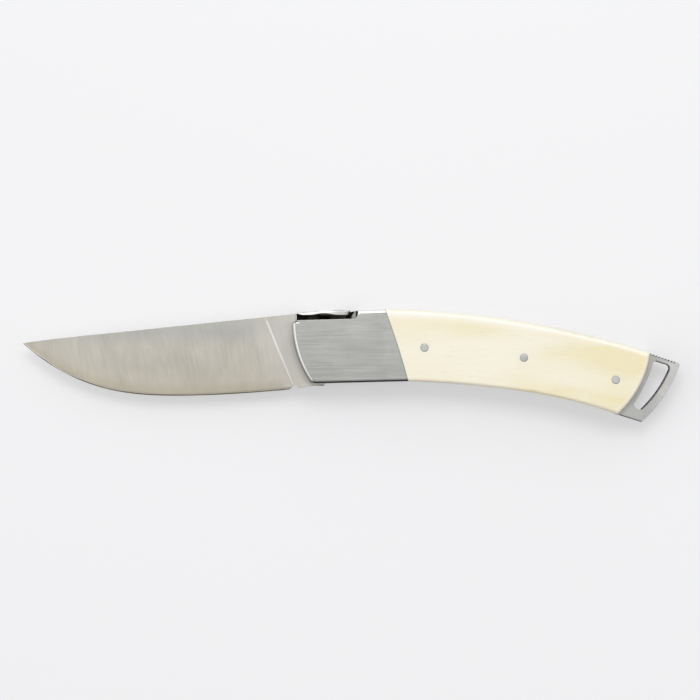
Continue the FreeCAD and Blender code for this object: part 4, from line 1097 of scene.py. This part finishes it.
# %% White sheet
SHEET_SIZE, SHEET_DROP = 6.0, 0.05
PAPER_TONE, TENT_WHITE, GLOW = rgb(0.47, 0.47, 0.475), rgb(1.0, 1.0, 1.01), 0.4
fresh_start()
bpy.ops.mesh.primitive_plane_add(size=SHEET_SIZE, location=(0.0, 0.0, -SHEET_DROP * MM))
sheet = bpy.context.object
sheet.name = "white_sheet"
sheet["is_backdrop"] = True
paper = bpy.data.materials.new("white_paper")
paper.use_nodes = True
tree = paper.node_tree
tree.nodes.remove(tree.nodes["Principled BSDF"])
path = put(tree, "ShaderNodeLightPath").outputs
shown = highest(*(path[name] for name in ("Is Camera Ray", "Is Glossy Ray", "Is Transmission Ray")))
matt = put(tree, "ShaderNodeBsdfDiffuse", {"Color": PAPER_TONE}).outputs[0]
glow = put(tree, "ShaderNodeEmission", {"Color": TENT_WHITE, "Strength": times(shown, GLOW)}).outputs[0]
both = put(tree, "ShaderNodeAddShader", {0: matt, 1: glow}).outputs[0]
tree.links.new(both, tree.nodes["Material Output"].inputs["Surface"])
sheet.data.materials.append(paper)
print("sheet:", sheet.name)

# %% [markdown]
# Most of the light comes from all round, as in a photographer's tent: brighter from the spine side and the
# blade's end, and dark from the belly side. That is what makes the rounded upper and front edges of the
# handle shine and draws a dark line under the lower ones. The camera itself sees plain white beyond the
# sheet.

# %% Tent light
SPINE_SIDE, BLADE_END, BELLY_SIDE = (0.2, 0.75, 0.0, 0.55), (-0.75, -0.3, 0.9, 0.0), (-0.7, -0.1, 0.25, 0.66)
SEEN_WHITE = 0.93
world = bpy.data.worlds.new("tent")
scene.world = world
world.use_nodes = True
tree = world.node_tree
way_x, way_y = axes(put(tree, "ShaderNodeTexCoord").outputs["Generated"])[:2]
bright_sides = highest(ease(way_y, SPINE_SIDE), ease(way_x, BLADE_END))
tent = reckon("ADD", ease(way_y, BELLY_SIDE), bright_sides)
seen = put(tree, "ShaderNodeLightPath").outputs["Is Camera Ray"]
strength = put(tree, "ShaderNodeMix", {"Factor": seen, "A": tent, "B": SEEN_WHITE}).outputs[0]
tree.links.new(strength, tree.nodes["Background"].inputs["Strength"])
tree.nodes["Background"].inputs["Color"].default_value = TENT_WHITE
print("world:", world.name)

# %% [markdown]
# One soft box, high beyond the spine, adds direction. It stands so high that the shadow stays close to the
# knife.

# %% Soft box
AIM = Vector((10.0, 0.0, 5.0)) * MM
BOX_PLACE = Vector((0.03, 0.38, 0.66))
BOX_WIDTH, BOX_DEPTH, BOX_POWER = 0.45, 0.3, 1.74
fresh_start()
bpy.ops.object.light_add(type="AREA", location=BOX_PLACE)
lamp = bpy.context.object
lamp.name = "spine_side_box"
lamp.data.shape = "RECTANGLE"
lamp.data.size = BOX_WIDTH
lamp.data.size_y = BOX_DEPTH
lamp.data.energy = BOX_POWER
lamp.rotation_euler = (AIM - BOX_PLACE).to_track_quat("-Z", "Y").to_euler()
print("lamp:", lamp.name, BOX_POWER, "W")

# %% [markdown]
# The camera looks straight down through a long lens. The picture's scale, in pixels per millimetre, gives
# the width that it has to show at the level of the knife's upper side, and that width gives the camera's
# height.

# %% Camera
PIXELS, PIXELS_PER_MM = 700, 3.25
LENS, SENSOR, VIEW_LIMIT = 150.0, 36.0, 20.0
MIDDLE, LEVEL = (5.54, 2.95), 8.0
camera_height = PIXELS / PIXELS_PER_MM * LENS / SENSOR + LEVEL
fresh_start()
camera_place = [side * MM for side in (*MIDDLE, camera_height)]
bpy.ops.object.camera_add(location=camera_place, rotation=(0.0, 0.0, 0.0))
camera = bpy.context.object
camera.data.lens = LENS
camera.data.sensor_width = SENSOR
camera.data.clip_end = VIEW_LIMIT
scene.camera = camera
print("camera height in mm:", round(camera_height, 1))

# %% [markdown]
# ## Check and finish
#
# The dressed knife must fill the same box as the bare pieces.

# %% Sizes and finish
new_low, new_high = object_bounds()
sides = zip((*cad_low, *cad_high), (*new_low, *new_high))
print("box change in mm:", [round((new - old) / MM, 3) for old, new in sides])
